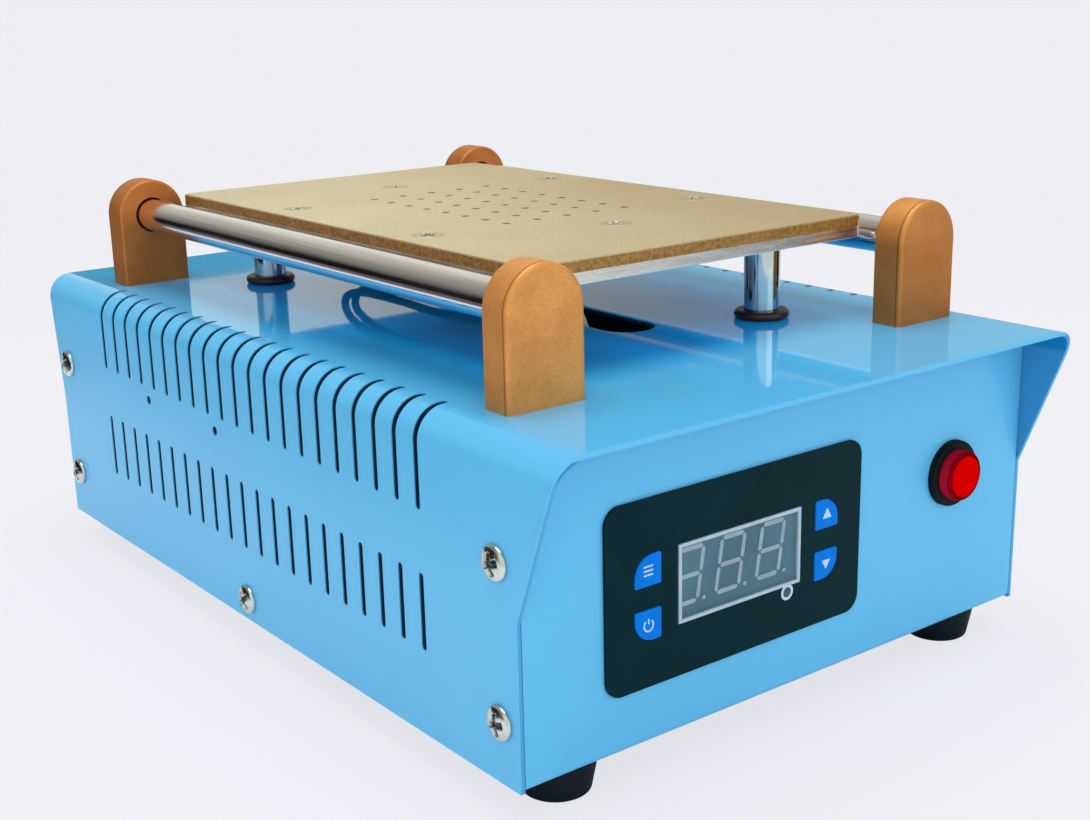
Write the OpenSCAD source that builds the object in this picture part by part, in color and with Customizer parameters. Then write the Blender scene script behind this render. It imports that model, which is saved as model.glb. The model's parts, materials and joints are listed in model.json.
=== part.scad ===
/* [Body] */
// Width of the cover
body_w = 175; // [168:1:200]
// Depth from the front panel's face to the rear panel's face
body_d = 256; // [250:1:280]
// Height of the cover from its lower edge to the deck
body_h = 81; // [78:1:95]
// Sheet thickness of the cover and the tray
sheet_t = 1.2; // [1:0.1:1.5]
// Outside radius of the cover's two long bends
bend_r = 7.7; // [6:0.1:8]
// Reach of the front visor past the front panel
visor_front = 15.5; // [10:0.5:20]
// Reach of the rear visor past the rear panel
visor_rear = 5; // [4.5:0.5:8]
// Height of the kink in the side sheets' ends above their lower edge
kink_h = 40.5; // [36:0.5:48]
// Gap between the tray and the cover all round
fit_gap = 0.2; // [0.1:0.05:0.4]
// Height of the rubber feet
foot_h = 9; // [8:0.5:14]
// Radius of a foot at its top
foot_r = 10; // [9:0.5:11]

/* [Slots] */
// Number of slots in each row
slot_count = 21; // [15:1:22]
// Distance from slot to slot
slot_pitch = 9; // [7:0.5:9.5]
// Width of a slot
slot_w = 2; // [1.4:0.1:3]
// How far the slots lie ahead of the body's centre
slot_shift = 1.2; // [0:0.1:4]
// Height of the upper row's lower end above the cover's lower edge
slot_upper_z = 57; // [55:0.5:60]
// Height of the lower row's upper end above the cover's lower edge
slot_lower_z = 41.5; // [36:0.5:44]
// Length of a slot of the lower row
slot_lower_l = 19.5; // [12:0.5:22]

/* [Plate] */
// Distance from the cover's side to the hot plate's long edge
plate_in = 30.5; // [29.5:0.5:33.5]
// Gap between the hot plate and the front brackets
plate_gap = 3.3; // [2.5:0.1:8]
// Thickness of the hot plate
plate_t = 3; // [2.5:0.1:4]
// Thickness of the aluminium plate under it
under_t = 3; // [2.5:0.1:4]
// How far the plate's centre lies ahead of the body's centre
works_shift = 3.6; // [0:0.2:5]
// Height of the posts
post_h = 22.5; // [21:0.5:28]
// Radius of a post
post_r = 5; // [4:0.25:5.5]
// Number of suction holes across the plate
hole_columns = 5; // [3:1:6]
// Number of suction holes along the plate
hole_rows = 8; // [4:1:9]
// Radius of a suction hole
hole_r = 1.2; // [0.8:0.05:1.5]

/* [Rollers] */
// Radius of a roller
roller_r = 5; // [4:0.25:5.5]
// Distance from the cover's side to a roller's axis
roller_inset = 22.7; // [20.5:0.1:23]
// Height of a roller's axis above the deck
roller_h = 22; // [20:0.5:26]
// Width of a bracket
bracket_w = 22; // [20:0.5:23]
// Thickness of a bracket along the roller
bracket_t = 9.6; // [9:0.1:12]
// Mean distance from the two panels to the outer faces of the brackets
bracket_in = 20; // [18:0.5:21]

/* [Panel] */
// Width of the control overlay
overlay_w = 84; // [82:1:90]
// Height of the control overlay
overlay_h = 46; // [44:0.5:50]
// Width of the display body
display_w = 40.3; // [38:0.1:42]
// Height of the display body
display_h = 19.6; // [18.6:0.1:21]
// Width of a key
key_w = 8; // [6.5:0.1:8.5]
// Height of a key
key_h = 7.7; // [6.5:0.1:8]
// Travel of a key
key_travel = 0.4; // [0.2:0.05:0.45]
// Radius of the start button's cap
cap_r = 6.75; // [6:0.25:7]
// Travel of the start button's cap
cap_travel = 3; // [2:0.25:3.5]

/* [Hidden] */
$fn = 48;

// Overrun of every cut past the face that it opens
over = 1;
// Radial clearance of a moving round fit, and of a screw in its thread
run_gap = 0.05;
// Radial clearance of a screw in a plain hole
pass_gap = 0.2;
// Gap round a key, a rocker or a lamp in its window
window_gap = 0.15;

// M4 and M3 screws, and their pan and countersunk heads
m4_r = 2;
m3_r = 1.5;
m4_pan_r = 4.3;
m4_pan_h = 2.6;
m3_pan_r = 2.8;
m3_pan_h = 1.9;
m4_csk_r = 4.2;
m4_nut_af = 7;
m4_nut_h = 3.2;
// The cross recess: arm width and depth as shares of the head's radius and height
cross_arm_share = 0.24;
cross_reach_share = 0.6;
cross_depth_share = 0.62;
// Rounding of a pan head's rim as a share of its height
pan_round_share = 0.75;

// Levels from the floor upwards
base_z = foot_h;
floor_z = base_z + sheet_t;
deck_z = base_z + body_h;
deck_under = deck_z - sheet_t;
under_z = deck_z + post_h;
plate_z = under_z + under_t;
top_z = plate_z + plate_t;
roller_z = deck_z + roller_h;
roller_x = body_w / 2 - roller_inset;

// The rocker's reach past the rear panel, and the body's middle in the frame, which stands the
// origin under the middle of the whole
rocker_flange_t = 1.6;
rocker_rise = 2.6;
rear_reach = max(visor_rear, rocker_flange_t + rocker_rise);
mid_y = (visor_front - rear_reach) / 2;
panel_y = -body_d / 2;
works_y = -works_shift;

// The tray: its width, bend radius, flanges, and the return along the top of its two panels
tray_w = body_w - 2 * (sheet_t + fit_gap);
tray_h = body_h - sheet_t - fit_gap;
tray_bend_r = 2;
tray_return = 9;
flange_l = 14;
flange_h = 12;

// Feet: place, taper, screw pocket
foot_inset_x = 18.5;
foot_inset_y = 11.3;
foot_x = body_w / 2 - foot_inset_x;
foot_y = body_d / 2 - foot_inset_y;
foot_tip_share = 0.85;
foot_rim_r = 0.8;
foot_pocket_r = m4_pan_r + 0.4 * m4_r;
foot_floor = 4;

// Screws in the cover's sides: distance from the panels and heights above the lower edge
side_screw_in = 6.8;
side_screw_low = 15;
side_screw_high = 52.8;
side_screw_mid = 6.3;
side_screw_l = 6;

// Slots: how far past the bend the upper row reaches onto the deck
slot_reach = 0.7;
slot_top_x = body_w / 2 - bend_r - slot_reach;
// Two small fixing holes in the left side
tie_hole_r = 1.4;
tie_hole_z = 53;
tie_hole_ys = [57.5, 13];

// Cable slot in the deck
cable_slot_x = 2.5;
cable_slot_w = 16;
cable_slot_front = 67.5;
cable_slot_l = 50;

// Brackets: distance over their outer faces, edge rounding, recess and bush seat
bracket_span = body_d - 2 * bracket_in;
bracket_edge_r = 1;
bracket_y = bracket_span / 2;
recess_gap = 0.5;
recess_depth = 4.5;
bush_r = 4;
bush_l = 3.5;
journal_r = 2.5;
end_play = 0.4;
roller_chamfer = 0.5;
bracket_screw_dx = 6;
bracket_screw_l = 10;

// Plate: width and length between the brackets, corners, screws in a hexagon, suction grid
plate_w = body_w - 2 * plate_in;
plate_l = bracket_span - 2 * (bracket_t + works_shift + plate_gap);
plate_corner_r = 2;
plate_chamfer = 0.3;
plate_screw_in = 10.2;
plate_screw_x = plate_w / 2 - plate_screw_in;
plate_screw_y = 34.5;
plate_screw_end_y = 55;
hole_pitch_x = 10.5;
hole_pitch_y = 9.7;
channel_w = 2;
channel_depth = 1.2;
port_r = 2.2;

// Heater pad, set in from the plate's long edges
pad_in = 25;
pad_w = plate_w - 2 * pad_in;
pad_l = 124;
pad_t = 1.5;
pad_corner_r = 3;

// Posts, set in from the plate's edges
post_in_x = 19.5;
post_in_y = 18.5;
post_x = plate_w / 2 - post_in_x;
post_y = plate_l / 2 - post_in_y;
post_chamfer = 0.4;
post_thread_l = 9;
collar_r = post_r + 2.7;
collar_h = 2.5;

// Suction elbow under the plate, and the hose, its wall and the leads
elbow_drop = 8.5;
elbow_r = 3.4;
elbow_flange_r = 5.4;
elbow_flange_h = 2.5;
elbow_hex_af = 8;
barb_r = 1.9;
barb_rib_r = 2.2;
barb_l = 14;
barb_ribs = 3;
hose_r = 3.1;
hose_sides = 12;
lead_r = 1.3;
lead_sides = 8;
sensor_r = 0.9;
curve_steps = 4;

// Panel: place of the overlay and of what it holds, from the body's middle and lower edge
panel_x = -21.3;
panel_rise = 37.9;
panel_z = base_z + panel_rise;
overlay_t = 0.8;
overlay_corner_r = 4.5;
cutout_w = 72;
cutout_h = 31;
key_dx = 29.5;
key_drop = 0.8;
key_dz = 6.7;
key_corner_r = 5.4;
key_rise = 0.25;
key_flange = 0.9;
key_flange_t = 0.6;
key_stem_r = 1.4;
led_dx = 16;
led_dz = 11.6;
led_r = 1.3;
led_flange_r = 1.6;

// Display: rim, face and digits
rim_w = 0.9;
rim_rise = 0.3;
face_depth = 0.7;
face_t = 1;
digit_h = 14.4;
digit_w = 8.6;
digit_pitch = 13.4;
digit_slant = 9;
digit_dx = -3.2;
digit_rise = 1.2;
segment_w = 1.15;
segment_gap = 0.25;
segment_t = 0.15;
dot_r = 0.55;
dot_gap = 1;

// Control board behind the panel
board_w = 84;
board_h = 42;
board_t = 1.6;
board_off = 7;
board_y = panel_y + sheet_t + board_off;
standoff_r = 2.5;
standoff_dx = 39;
standoff_dz = 18.3;
switch_w = 6;
switch_h = 3.4;
switch_gap = 0.5;
plunger_r = 1.7;
relay_size = [19, 15.5, 15];
relay_x = -24;
terminal_size = [30, 12, 10];
terminal_x = 14;

// Start button: bezel, barrel, nut and cap
start_in = 30.3;
start_rise = 43.7;
start_x = body_w / 2 - start_in;
start_z = base_z + start_rise;
bezel_r = 9;
bezel_t = 2;
bezel_round = 0.7;
barrel_l = 24;
barrel_wall = 0.9;
cap_gap = 0.1;
barrel_r = cap_r + cap_gap + barrel_wall;
cap_out = 5.4;
cap_in = 3.5;
cap_round = 0.9;
start_nut_af = 19;
start_nut_h = 3;
lug_size = [2.8, 6, 0.8];
lug_dx = 4;

// Pump on the tray's floor
pump_x = 38;
pump_y = 12;
motor_r = 12;
motor_l = 31;
motor_boss_r = 4;
motor_boss_l = 2;
head_w = 27;
head_h = 30;
head_l = 20;
nipple_r = 2;
nipple_l = 9;
cradle_w = 36;
cradle_l = 18;
cradle_under = 3;
strap_t = 1;
strap_ear = 6;
strap_l = 10;
pump_z = floor_z + cradle_under + motor_r;

// Power supply board on the tray's floor
power_x = -38;
power_y = 42;
power_w = 62;
power_l = 96;
power_off = 6;
power_screw_in = 5;
coil_size = [30, 26, 24];
coil_core_size = [34, 10, 20];
cap_can_r = 8;
cap_can_l = 22;
sink_size = [3, 40, 24];
sink_fin = 6;

// Mains inlet and rocker switch in the rear panel, seen from behind
inlet_in = 39.5;
inlet_rise = 40;
inlet_x = inlet_in - body_w / 2;
inlet_z = base_z + inlet_rise;
inlet_flange_w = 50;
inlet_flange_h = 23;
inlet_flange_t = 2.6;
inlet_body_w = 28;
inlet_body_h = 20;
inlet_body_l = 16;
inlet_cavity_w = 24;
inlet_cavity_h = 16;
inlet_cavity_l = 14;
inlet_screw_dx = 20;
inlet_corner_r = 3;
inlet_pin_size = [2, 11, 4];
inlet_pin_dx = 7;
inlet_pin_dz = 2;
rocker_x = 8;
rocker_z = inlet_z;
rocker_flange_w = 15;
rocker_flange_h = 21;
rocker_body_w = 12.8;
rocker_body_h = 18.8;
rocker_body_l = 15;
rocker_w = 8.6;
rocker_h = 14.6;
rocker_tilt = 9;
rocker_valley = 1.3;
rocker_pivot_r = 1.5;
rocker_wall = 1.2;

// Helpers: places, extrusions and shapes used by several pieces
module in_place() translate([0, mid_y, 0]) children();
module upright(y0, d) translate([0, y0 + d, 0]) rotate([90, 0, 0]) linear_extrude(d) children();
module sideways(x0, d) translate([x0, 0, 0]) rotate([90, 0, 90]) linear_extrude(d) children();
module rod_x(r, x0, l) translate([x0, 0, 0]) rotate([0, 90, 0]) cylinder(r = r, h = l);
module rod_y(r, y0, l) translate([0, y0, 0]) rotate([-90, 0, 0]) cylinder(r = r, h = l);
module corners(x, y) for (sx = [-1, 1], sy = [-1, 1]) translate([sx * x, sy * y]) children();
module block(size, z = 0) translate([-size[0] / 2, -size[1] / 2, z]) cube(size);
module bar2d(w, h) translate([-w / 2, -h / 2]) square([w, h]);

// Rectangle about its middle with four round corners
module round_rect(w, h, r) {
    bar2d(w - 2 * r, h);
    bar2d(w, h - 2 * r);
    corners(w / 2 - r, h / 2 - r) circle(r);
}

// Slot with round ends from (0, a) to (0, b)
module stadium(w, a, b) {
    translate([-w / 2, a + w / 2]) square([w, b - a - w]);
    for (z = [a + w / 2, b - w / 2]) translate([0, z]) circle(w / 2);
}

// Hexagon measured over its flats
module hexagon(af) circle(r = af / 2 / cos(30), $fn = 6);

// Screw along +Z with its head's seat at zero: a pan head above it, or a flat head level with it
module cross_recess(r, h) {
    for (turn = [0, 90]) rotate(turn)
        translate([0, 0, h * (1 - cross_depth_share)])
            block([2 * r * cross_reach_share, r * cross_arm_share, h]);
}
module pan_profile(r, h) {
    round_off = h * pan_round_share;
    square([r - round_off, h]);
    square([r, h - round_off]);
    translate([r - round_off, h - round_off]) intersection() {
        circle(round_off);
        square(round_off);
    }
}
module pan_screw(d_r, l, head_r, head_h) {
    difference() {
        rotate_extrude() pan_profile(head_r, head_h);
        cross_recess(head_r, head_h);
    }
    translate([0, 0, -l]) cylinder(r = d_r, h = l);
}
module flat_screw(d_r, l, head_r) {
    difference() {
        translate([0, 0, d_r - head_r]) cylinder(r1 = d_r, r2 = head_r, h = head_r - d_r);
        translate([0, 0, d_r - head_r]) cross_recess(head_r, head_r - d_r);
    }
    translate([0, 0, -l]) cylinder(r = d_r, h = l + d_r - head_r);
}
module countersink(d_r, head_r, t) {
    translate([0, 0, -t - over]) cylinder(r = d_r, h = t + 2 * over);
    translate([0, 0, d_r - head_r]) cylinder(r1 = d_r, r2 = head_r, h = head_r - d_r);
    cylinder(r = head_r, h = over);
}

// A smooth curve through hand-chosen points, and a tube swept along it
function mix(a, b, c, d, t) = ((-t + 2 * t * t - t * t * t) * a + (2 - 5 * t * t + 3 * t * t * t) * b
    + (t + 4 * t * t - 3 * t * t * t) * c + (t * t * t - t * t) * d) / 2;
function curve(p) = concat([for (i = [0:len(p) - 2], k = [0:curve_steps - 1])
    mix(p[max(i - 1, 0)], p[i], p[i + 1], p[min(i + 2, len(p) - 1)], k / curve_steps)], [p[len(p) - 1]]);
function unit(v) = v / norm(v);
function heading(c, i) = unit(c[min(i + 1, len(c) - 1)] - c[max(i - 1, 0)]);
function side_of(h, last) = unit(last - (last * h) * h);
function sides(c, i = 0, last = [1, 0, 0]) = i >= len(c) ? [] :
    let (s = side_of(heading(c, i), last)) concat([s], sides(c, i + 1, s));
module tube(points, r, n) {
    c = curve(points);
    s = sides(c);
    rings = [for (i = [0:len(c) - 1]) let (u = s[i], v = cross(heading(c, i), u)) for (k = [0:n - 1])
        c[i] + r * (cos(360 * k / n) * u + sin(360 * k / n) * v)];
    walls = [for (i = [0:len(c) - 2], k = [0:n - 1]) let (a = i * n + k, b = i * n + (k + 1) % n)
        each [[a, a + n, b], [b, a + n, b + n]]];
    starts = [for (k = [1:n - 2]) [0, k, k + 1]];
    ends = [for (k = [1:n - 2]) [(len(c) - 1) * n, (len(c) - 1) * n + k + 1, (len(c) - 1) * n + k]];
    polyhedron(concat([for (p = rings) p]), concat(walls, starts, ends));
}

// Outline of the cover, open at the bottom, and the region ahead of a side sheet's end
module arch_2d(w, h, r) {
    translate([-w / 2, -over]) square([w, h - r + over]);
    translate([r - w / 2, -over]) square([w - 2 * r, h + over]);
    for (s = [-1, 1]) translate([s * (w / 2 - r), h - r]) circle(r);
}
module end_cut(visor) {
    polygon([[0, -2 * over], [0, kink_h], [visor, body_h - sheet_t], [visor + over, body_h - sheet_t],
        [visor + over, -2 * over]]);
}
module slot_rows() {
    for (i = [0:slot_count - 1])
        translate([(i - (slot_count - 1) / 2) * slot_pitch - slot_shift, 0]) children();
}
module side_screw_places() {
    for (s = [-1, 1], z = [side_screw_low, side_screw_high])
        translate([s * (body_d / 2 - side_screw_in), z]) children();
    translate([0, side_screw_mid]) children();
}
module bracket_places() for (sx = [-1, 1], sy = [-1, 1])
    translate([sx * roller_x, works_y + sy * (bracket_y - bracket_t / 2), 0]) children();
module bracket_screw_places() bracket_places()
    for (s = [-1, 1]) translate([s * bracket_screw_dx, 0, 0]) children();
module post_places() translate([0, works_y, 0]) corners(post_x, post_y) children();
module foot_places() corners(foot_x, foot_y) children();

module top_cover() color("#63b8e8") in_place() difference() {
    translate([0, 0, base_z]) upright(panel_y - visor_front, body_d + visor_front + visor_rear)
        difference() {
            intersection() {
                arch_2d(body_w, body_h, bend_r);
                translate([-body_w / 2 - over, 0]) square([body_w + 2 * over, body_h + over]);
            }
            arch_2d(body_w - 2 * sheet_t, body_h - sheet_t, bend_r - sheet_t);
        }
    translate([0, 0, base_z]) sideways(-body_w / 2 - over, body_w + 2 * over) {
        translate([panel_y, 0]) mirror([1, 0]) end_cut(visor_front);
        translate([-panel_y, 0]) end_cut(visor_rear);
    }
    for (side = [0, 1]) mirror([side, 0, 0]) translate([0, 0, base_z]) {
        sideways(-body_w / 2 - over, body_w / 2 + over - slot_top_x)
            slot_rows() translate([-slot_w / 2, slot_upper_z + slot_w / 2])
                square([slot_w, body_h - slot_upper_z]);
        sideways(-body_w / 2 - over, bend_r) slot_rows() translate([0, slot_upper_z + slot_w / 2])
            circle(slot_w / 2);
        sideways(-body_w / 2 - over, bend_r) slot_rows()
            stadium(slot_w, slot_lower_z - slot_lower_l, slot_lower_z);
        translate([0, 0, body_h - sheet_t - over]) linear_extrude(sheet_t + 2 * over)
            rotate(90) slot_rows() translate([0, slot_top_x]) circle(slot_w / 2);
        sideways(-body_w / 2 - over, bend_r) side_screw_places() circle(m4_r + pass_gap);
    }
    translate([0, 0, base_z]) sideways(-body_w / 2 - over, bend_r)
        for (y = tie_hole_ys) translate([y, tie_hole_z]) circle(tie_hole_r);
    translate([cable_slot_x, -cable_slot_front, deck_under - over]) linear_extrude(sheet_t + 2 * over)
        stadium(cable_slot_w, 0, cable_slot_l);
    translate([0, 0, deck_under - over]) {
        bracket_screw_places() cylinder(r = m3_r + pass_gap, h = sheet_t + 2 * over);
        post_places() cylinder(r = m4_r + pass_gap, h = sheet_t + 2 * over);
    }
}

module tray_section() difference() {
    translate([0, tray_h / 2]) difference() {
        round_rect(body_d, tray_h, tray_bend_r);
        round_rect(body_d - 2 * sheet_t, tray_h - 2 * sheet_t, tray_bend_r - sheet_t);
    }
    translate([tray_return - body_d / 2, tray_h / 2]) square([body_d - 2 * tray_return, tray_h]);
}
module tray_sheet() {
    translate([0, 0, base_z]) sideways(-tray_w / 2, tray_w) tray_section();
    for (sx = [-1, 1]) translate([sx * (tray_w - sheet_t) / 2, 0, base_z]) {
        for (sy = [-1, 1]) translate([0, sy * (body_d - sheet_t - flange_l) / 2, tray_bend_r])
            block([sheet_t, flange_l, tray_h - 2 * tray_bend_r]);
        translate([0, 0, sheet_t / 2]) block([sheet_t, body_d - 2 * flange_l, flange_h]);
    }
}
module chassis_tray() color("#63b8e8") in_place() difference() {
    intersection() {
        tray_sheet();
        translate([0, 0, base_z]) upright(panel_y - over, body_d + 2 * over)
            arch_2d(tray_w, tray_h, bend_r - sheet_t);
    }
    translate([0, 0, base_z]) sideways(-tray_w / 2 - over, tray_w + 2 * over)
        side_screw_places() circle(m4_r + run_gap);
    translate([0, 0, base_z - over]) foot_places() cylinder(r = m4_r + pass_gap, h = sheet_t + 2 * over);
    translate([0, 0, base_z - over]) {
        power_places() cylinder(r = m3_r + pass_gap, h = sheet_t + 2 * over);
        strap_places() cylinder(r = m3_r + pass_gap, h = sheet_t + 2 * over);
    }
    upright(panel_y - over, sheet_t + 2 * over) {
        translate([panel_x, panel_z]) round_rect(cutout_w, cutout_h, tray_bend_r);
        translate([start_x, start_z]) circle(barrel_r + pass_gap);
    }
    upright(-panel_y - sheet_t - over, sheet_t + 2 * over) {
        translate([inlet_x, inlet_z])
            bar2d(inlet_body_w + 2 * pass_gap, inlet_body_h + 2 * pass_gap);
        for (s = [-1, 1]) translate([inlet_x + s * inlet_screw_dx, inlet_z]) circle(m3_r + run_gap);
        translate([rocker_x, rocker_z])
            bar2d(rocker_body_w + 2 * pass_gap, rocker_body_h + 2 * pass_gap);
    }
}

// Feet with their screws and nuts
module foot(sx, sy) color("#17171a") in_place() translate([sx * foot_x, sy * foot_y, 0]) difference() {
    rotate_extrude() {
        tip = foot_r * foot_tip_share;
        polygon([[0, 0], [tip - foot_rim_r, 0], [tip, foot_rim_r], [foot_r, foot_h - foot_rim_r],
            [foot_r, foot_h], [0, foot_h]]);
    }
    translate([0, 0, -over]) cylinder(r = foot_pocket_r, h = foot_floor + over);
    cylinder(r = m4_r + pass_gap, h = foot_h + over);
}
module foot_front_left() foot(-1, -1);
module foot_front_right() foot(1, -1);
module foot_rear_left() foot(-1, 1);
module foot_rear_right() foot(1, 1);
module foot_screws() color("silver") in_place() foot_places() translate([0, 0, foot_floor])
    mirror([0, 0, 1]) pan_screw(m4_r, floor_z + m4_nut_h + over - foot_floor, m4_pan_r, m4_pan_h);
module foot_nuts() color("silver") in_place() foot_places() translate([0, 0, floor_z]) difference() {
    linear_extrude(m4_nut_h) hexagon(m4_nut_af);
    translate([0, 0, -over]) cylinder(r = m4_r + run_gap, h = m4_nut_h + 2 * over);
}

module side_screws(side) color("silver") in_place() mirror([side, 0, 0])
    for (place = [[-1, side_screw_low], [-1, side_screw_high], [1, side_screw_low], [1, side_screw_high],
        [0, side_screw_mid]])
        translate([-body_w / 2, place[0] * (body_d / 2 - side_screw_in), base_z + place[1]])
            rotate([0, -90, 0]) pan_screw(m4_r, side_screw_l, m4_pan_r, m4_pan_h);
module cover_screws_left() side_screws(0);
module cover_screws_right() side_screws(1);

// Arched bracket: a post of rounded section that runs into a half round of the same section
module bracket_section() round_rect(bracket_w, bracket_t, bracket_edge_r);
module bracket(sx, sy) color("#b5682f") in_place()
    translate([sx * roller_x, works_y + sy * (bracket_y - bracket_t / 2), 0]) difference() {
        union() {
            translate([0, 0, deck_z]) linear_extrude(roller_h) bracket_section();
            translate([0, 0, roller_z]) rotate([90, 0, 0]) rotate_extrude() intersection() {
                bracket_section();
                translate([0, -bracket_t]) square([bracket_w, 2 * bracket_t]);
            }
        }
        translate([0, 0, roller_z]) mirror([0, sy > 0 ? 0 : 1, 0]) {
            rod_y(roller_r + recess_gap, -bracket_t / 2 - over, recess_depth + over);
            rod_y(bush_r, -bracket_t / 2, recess_depth + bush_l);
        }
        for (s = [-1, 1]) translate([s * bracket_screw_dx, 0, deck_z - over])
            cylinder(r = m3_r + run_gap, h = bracket_screw_l + over);
    }
module bracket_front_left() bracket(-1, -1);
module bracket_front_right() bracket(1, -1);
module bracket_rear_left() bracket(-1, 1);
module bracket_rear_right() bracket(1, 1);
module bracket_screws() color("silver") in_place() bracket_screw_places()
    translate([0, 0, deck_under]) mirror([0, 0, 1])
        pan_screw(m3_r, sheet_t + bracket_screw_l - over, m3_pan_r, m3_pan_h);

// Rollers with a journal at each end, and the bushes that they turn in
bush_y = bracket_y - bracket_t + recess_depth;
module roller_bushes() color("#c9a24a") in_place() translate([0, works_y, roller_z])
    for (sx = [-1, 1], sy = [0, 1]) translate([sx * roller_x, 0, 0]) mirror([0, sy, 0]) difference() {
        rod_y(bush_r, bush_y, bush_l);
        rod_y(journal_r + run_gap, bush_y - over, bush_l + 2 * over);
    }
module roller(sx) color("#c9c9c6") in_place() translate([sx * roller_x, works_y, roller_z])
    rotate([-90, 0, 0]) rotate_extrude() {
        barrel = bush_y - end_play;
        tip = bush_y + bush_l - end_play;
        polygon([[0, -tip], [journal_r, -tip], [journal_r, -barrel], [roller_r - roller_chamfer, -barrel],
            [roller_r, roller_chamfer - barrel], [roller_r, barrel - roller_chamfer],
            [roller_r - roller_chamfer, barrel], [journal_r, barrel], [journal_r, tip], [0, tip]]);
    }
module roller_left() roller(-1);
module roller_right() roller(1);

// The plates: the hot plate on the aluminium plate, which carries the suction channels
module plate_screw_places() {
    corners(plate_screw_x, plate_screw_y) children();
    for (s = [-1, 1]) translate([0, s * plate_screw_end_y]) children();
}
module suction_grid() for (i = [0:hole_columns - 1], j = [0:hole_rows - 1])
    translate([(i - (hole_columns - 1) / 2) * hole_pitch_x, (j - (hole_rows - 1) / 2) * hole_pitch_y])
        children();
module plate_slab(z, t) translate([0, 0, z]) linear_extrude(t)
    round_rect(plate_w, plate_l, plate_corner_r);
module hot_plate() color("#cdb98d") in_place() translate([0, works_y, 0]) difference() {
    union() {
        plate_slab(plate_z, plate_t - plate_chamfer);
        translate([0, 0, top_z - plate_chamfer]) linear_extrude(plate_chamfer)
            round_rect(plate_w - 2 * plate_chamfer, plate_l - 2 * plate_chamfer, plate_corner_r);
    }
    translate([0, 0, plate_z - over]) linear_extrude(plate_t + 2 * over) suction_grid() circle(hole_r);
    translate([0, 0, top_z]) plate_screw_places() countersink(m4_r + pass_gap, m4_csk_r + pass_gap, plate_t);
}
module vacuum_plate() color("#c4c6c8") in_place() translate([0, works_y, 0]) difference() {
    plate_slab(under_z, under_t);
    translate([0, 0, plate_z - channel_depth]) linear_extrude(channel_depth + over) {
        for (i = [0:hole_columns - 1]) translate([(i - (hole_columns - 1) / 2) * hole_pitch_x, 0])
            bar2d(channel_w, hole_rows * hole_pitch_y);
        bar2d(hole_columns * hole_pitch_x, channel_w);
    }
    translate([0, 0, under_z - over]) cylinder(r = port_r, h = under_t + over);
    translate([0, 0, under_z - over]) plate_screw_places()
        cylinder(r = m4_r + run_gap, h = under_t + 2 * over);
    translate([0, 0, plate_z]) corners(post_x, post_y)
        countersink(m4_r + pass_gap, m4_csk_r + pass_gap, under_t);
}
module plate_screws() color("silver") in_place() translate([0, works_y, top_z])
    plate_screw_places() flat_screw(m4_r, plate_t + under_t, m4_csk_r);
module heater_pad() color("#b3502c") in_place() translate([0, works_y, under_z - pad_t])
    linear_extrude(pad_t) difference() {
        round_rect(pad_w, pad_l, pad_corner_r);
        circle(elbow_flange_r + pass_gap);
    }

// Posts, collars and the screws at both ends of each post
module post(sx, sy) color("#d9dde2") in_place()
    translate([sx * post_x, works_y + sy * post_y, deck_z]) difference() {
        rotate_extrude() polygon([[0, 0], [post_r - post_chamfer, 0], [post_r, post_chamfer],
            [post_r, post_h - post_chamfer], [post_r - post_chamfer, post_h], [0, post_h]]);
        translate([0, 0, -over]) cylinder(r = m4_r + run_gap, h = post_thread_l + over);
        translate([0, 0, post_h - post_thread_l]) cylinder(r = m4_r + run_gap, h = post_thread_l + over);
    }
module post_front_left() post(-1, -1);
module post_front_right() post(1, -1);
module post_rear_left() post(-1, 1);
module post_rear_right() post(1, 1);
module post_collars() color("#2a1519") in_place() post_places() translate([0, 0, deck_z])
    rotate_extrude() {
        translate([post_r, 0]) square([collar_r - post_r - collar_h / 2, collar_h]);
        translate([collar_r - collar_h / 2, collar_h / 2]) circle(collar_h / 2);
    }
module post_screws() color("silver") in_place() post_places() {
    translate([0, 0, deck_under]) mirror([0, 0, 1])
        pan_screw(m4_r, sheet_t + post_thread_l - over, m4_pan_r, m4_pan_h);
    translate([0, 0, plate_z]) flat_screw(m4_r, under_t + post_thread_l - over, m4_csk_r);
}

// Suction elbow, screwed into the plate, with a ribbed barb that points forwards
module vacuum_elbow() color("#b9955a") in_place() translate([0, works_y, under_z - elbow_drop]) {
    difference() {
        union() {
            cylinder(r = elbow_r, h = elbow_drop - elbow_flange_h);
            sphere(elbow_r);
            translate([0, 0, elbow_drop - elbow_flange_h]) linear_extrude(elbow_flange_h)
                hexagon(elbow_hex_af);
            translate([0, 0, elbow_drop]) cylinder(r = port_r - run_gap, h = under_t - channel_depth);
            mirror([0, 1, 0]) {
                rod_y(barb_r, 0, barb_l + elbow_r);
                for (i = [0:barb_ribs - 1])
                    translate([0, barb_l + elbow_r - (i + 1) * barb_l / (barb_ribs + 1), 0])
                        rotate([-90, 0, 0])
                            cylinder(r1 = barb_rib_r, r2 = barb_r, h = barb_l / (barb_ribs + 2));
            }
        }
        cylinder(r = barb_r / 2, h = elbow_drop + under_t + over);
        mirror([0, 1, 0]) rod_y(barb_r / 2, 0, barb_l + elbow_r + over);
    }
}
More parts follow.
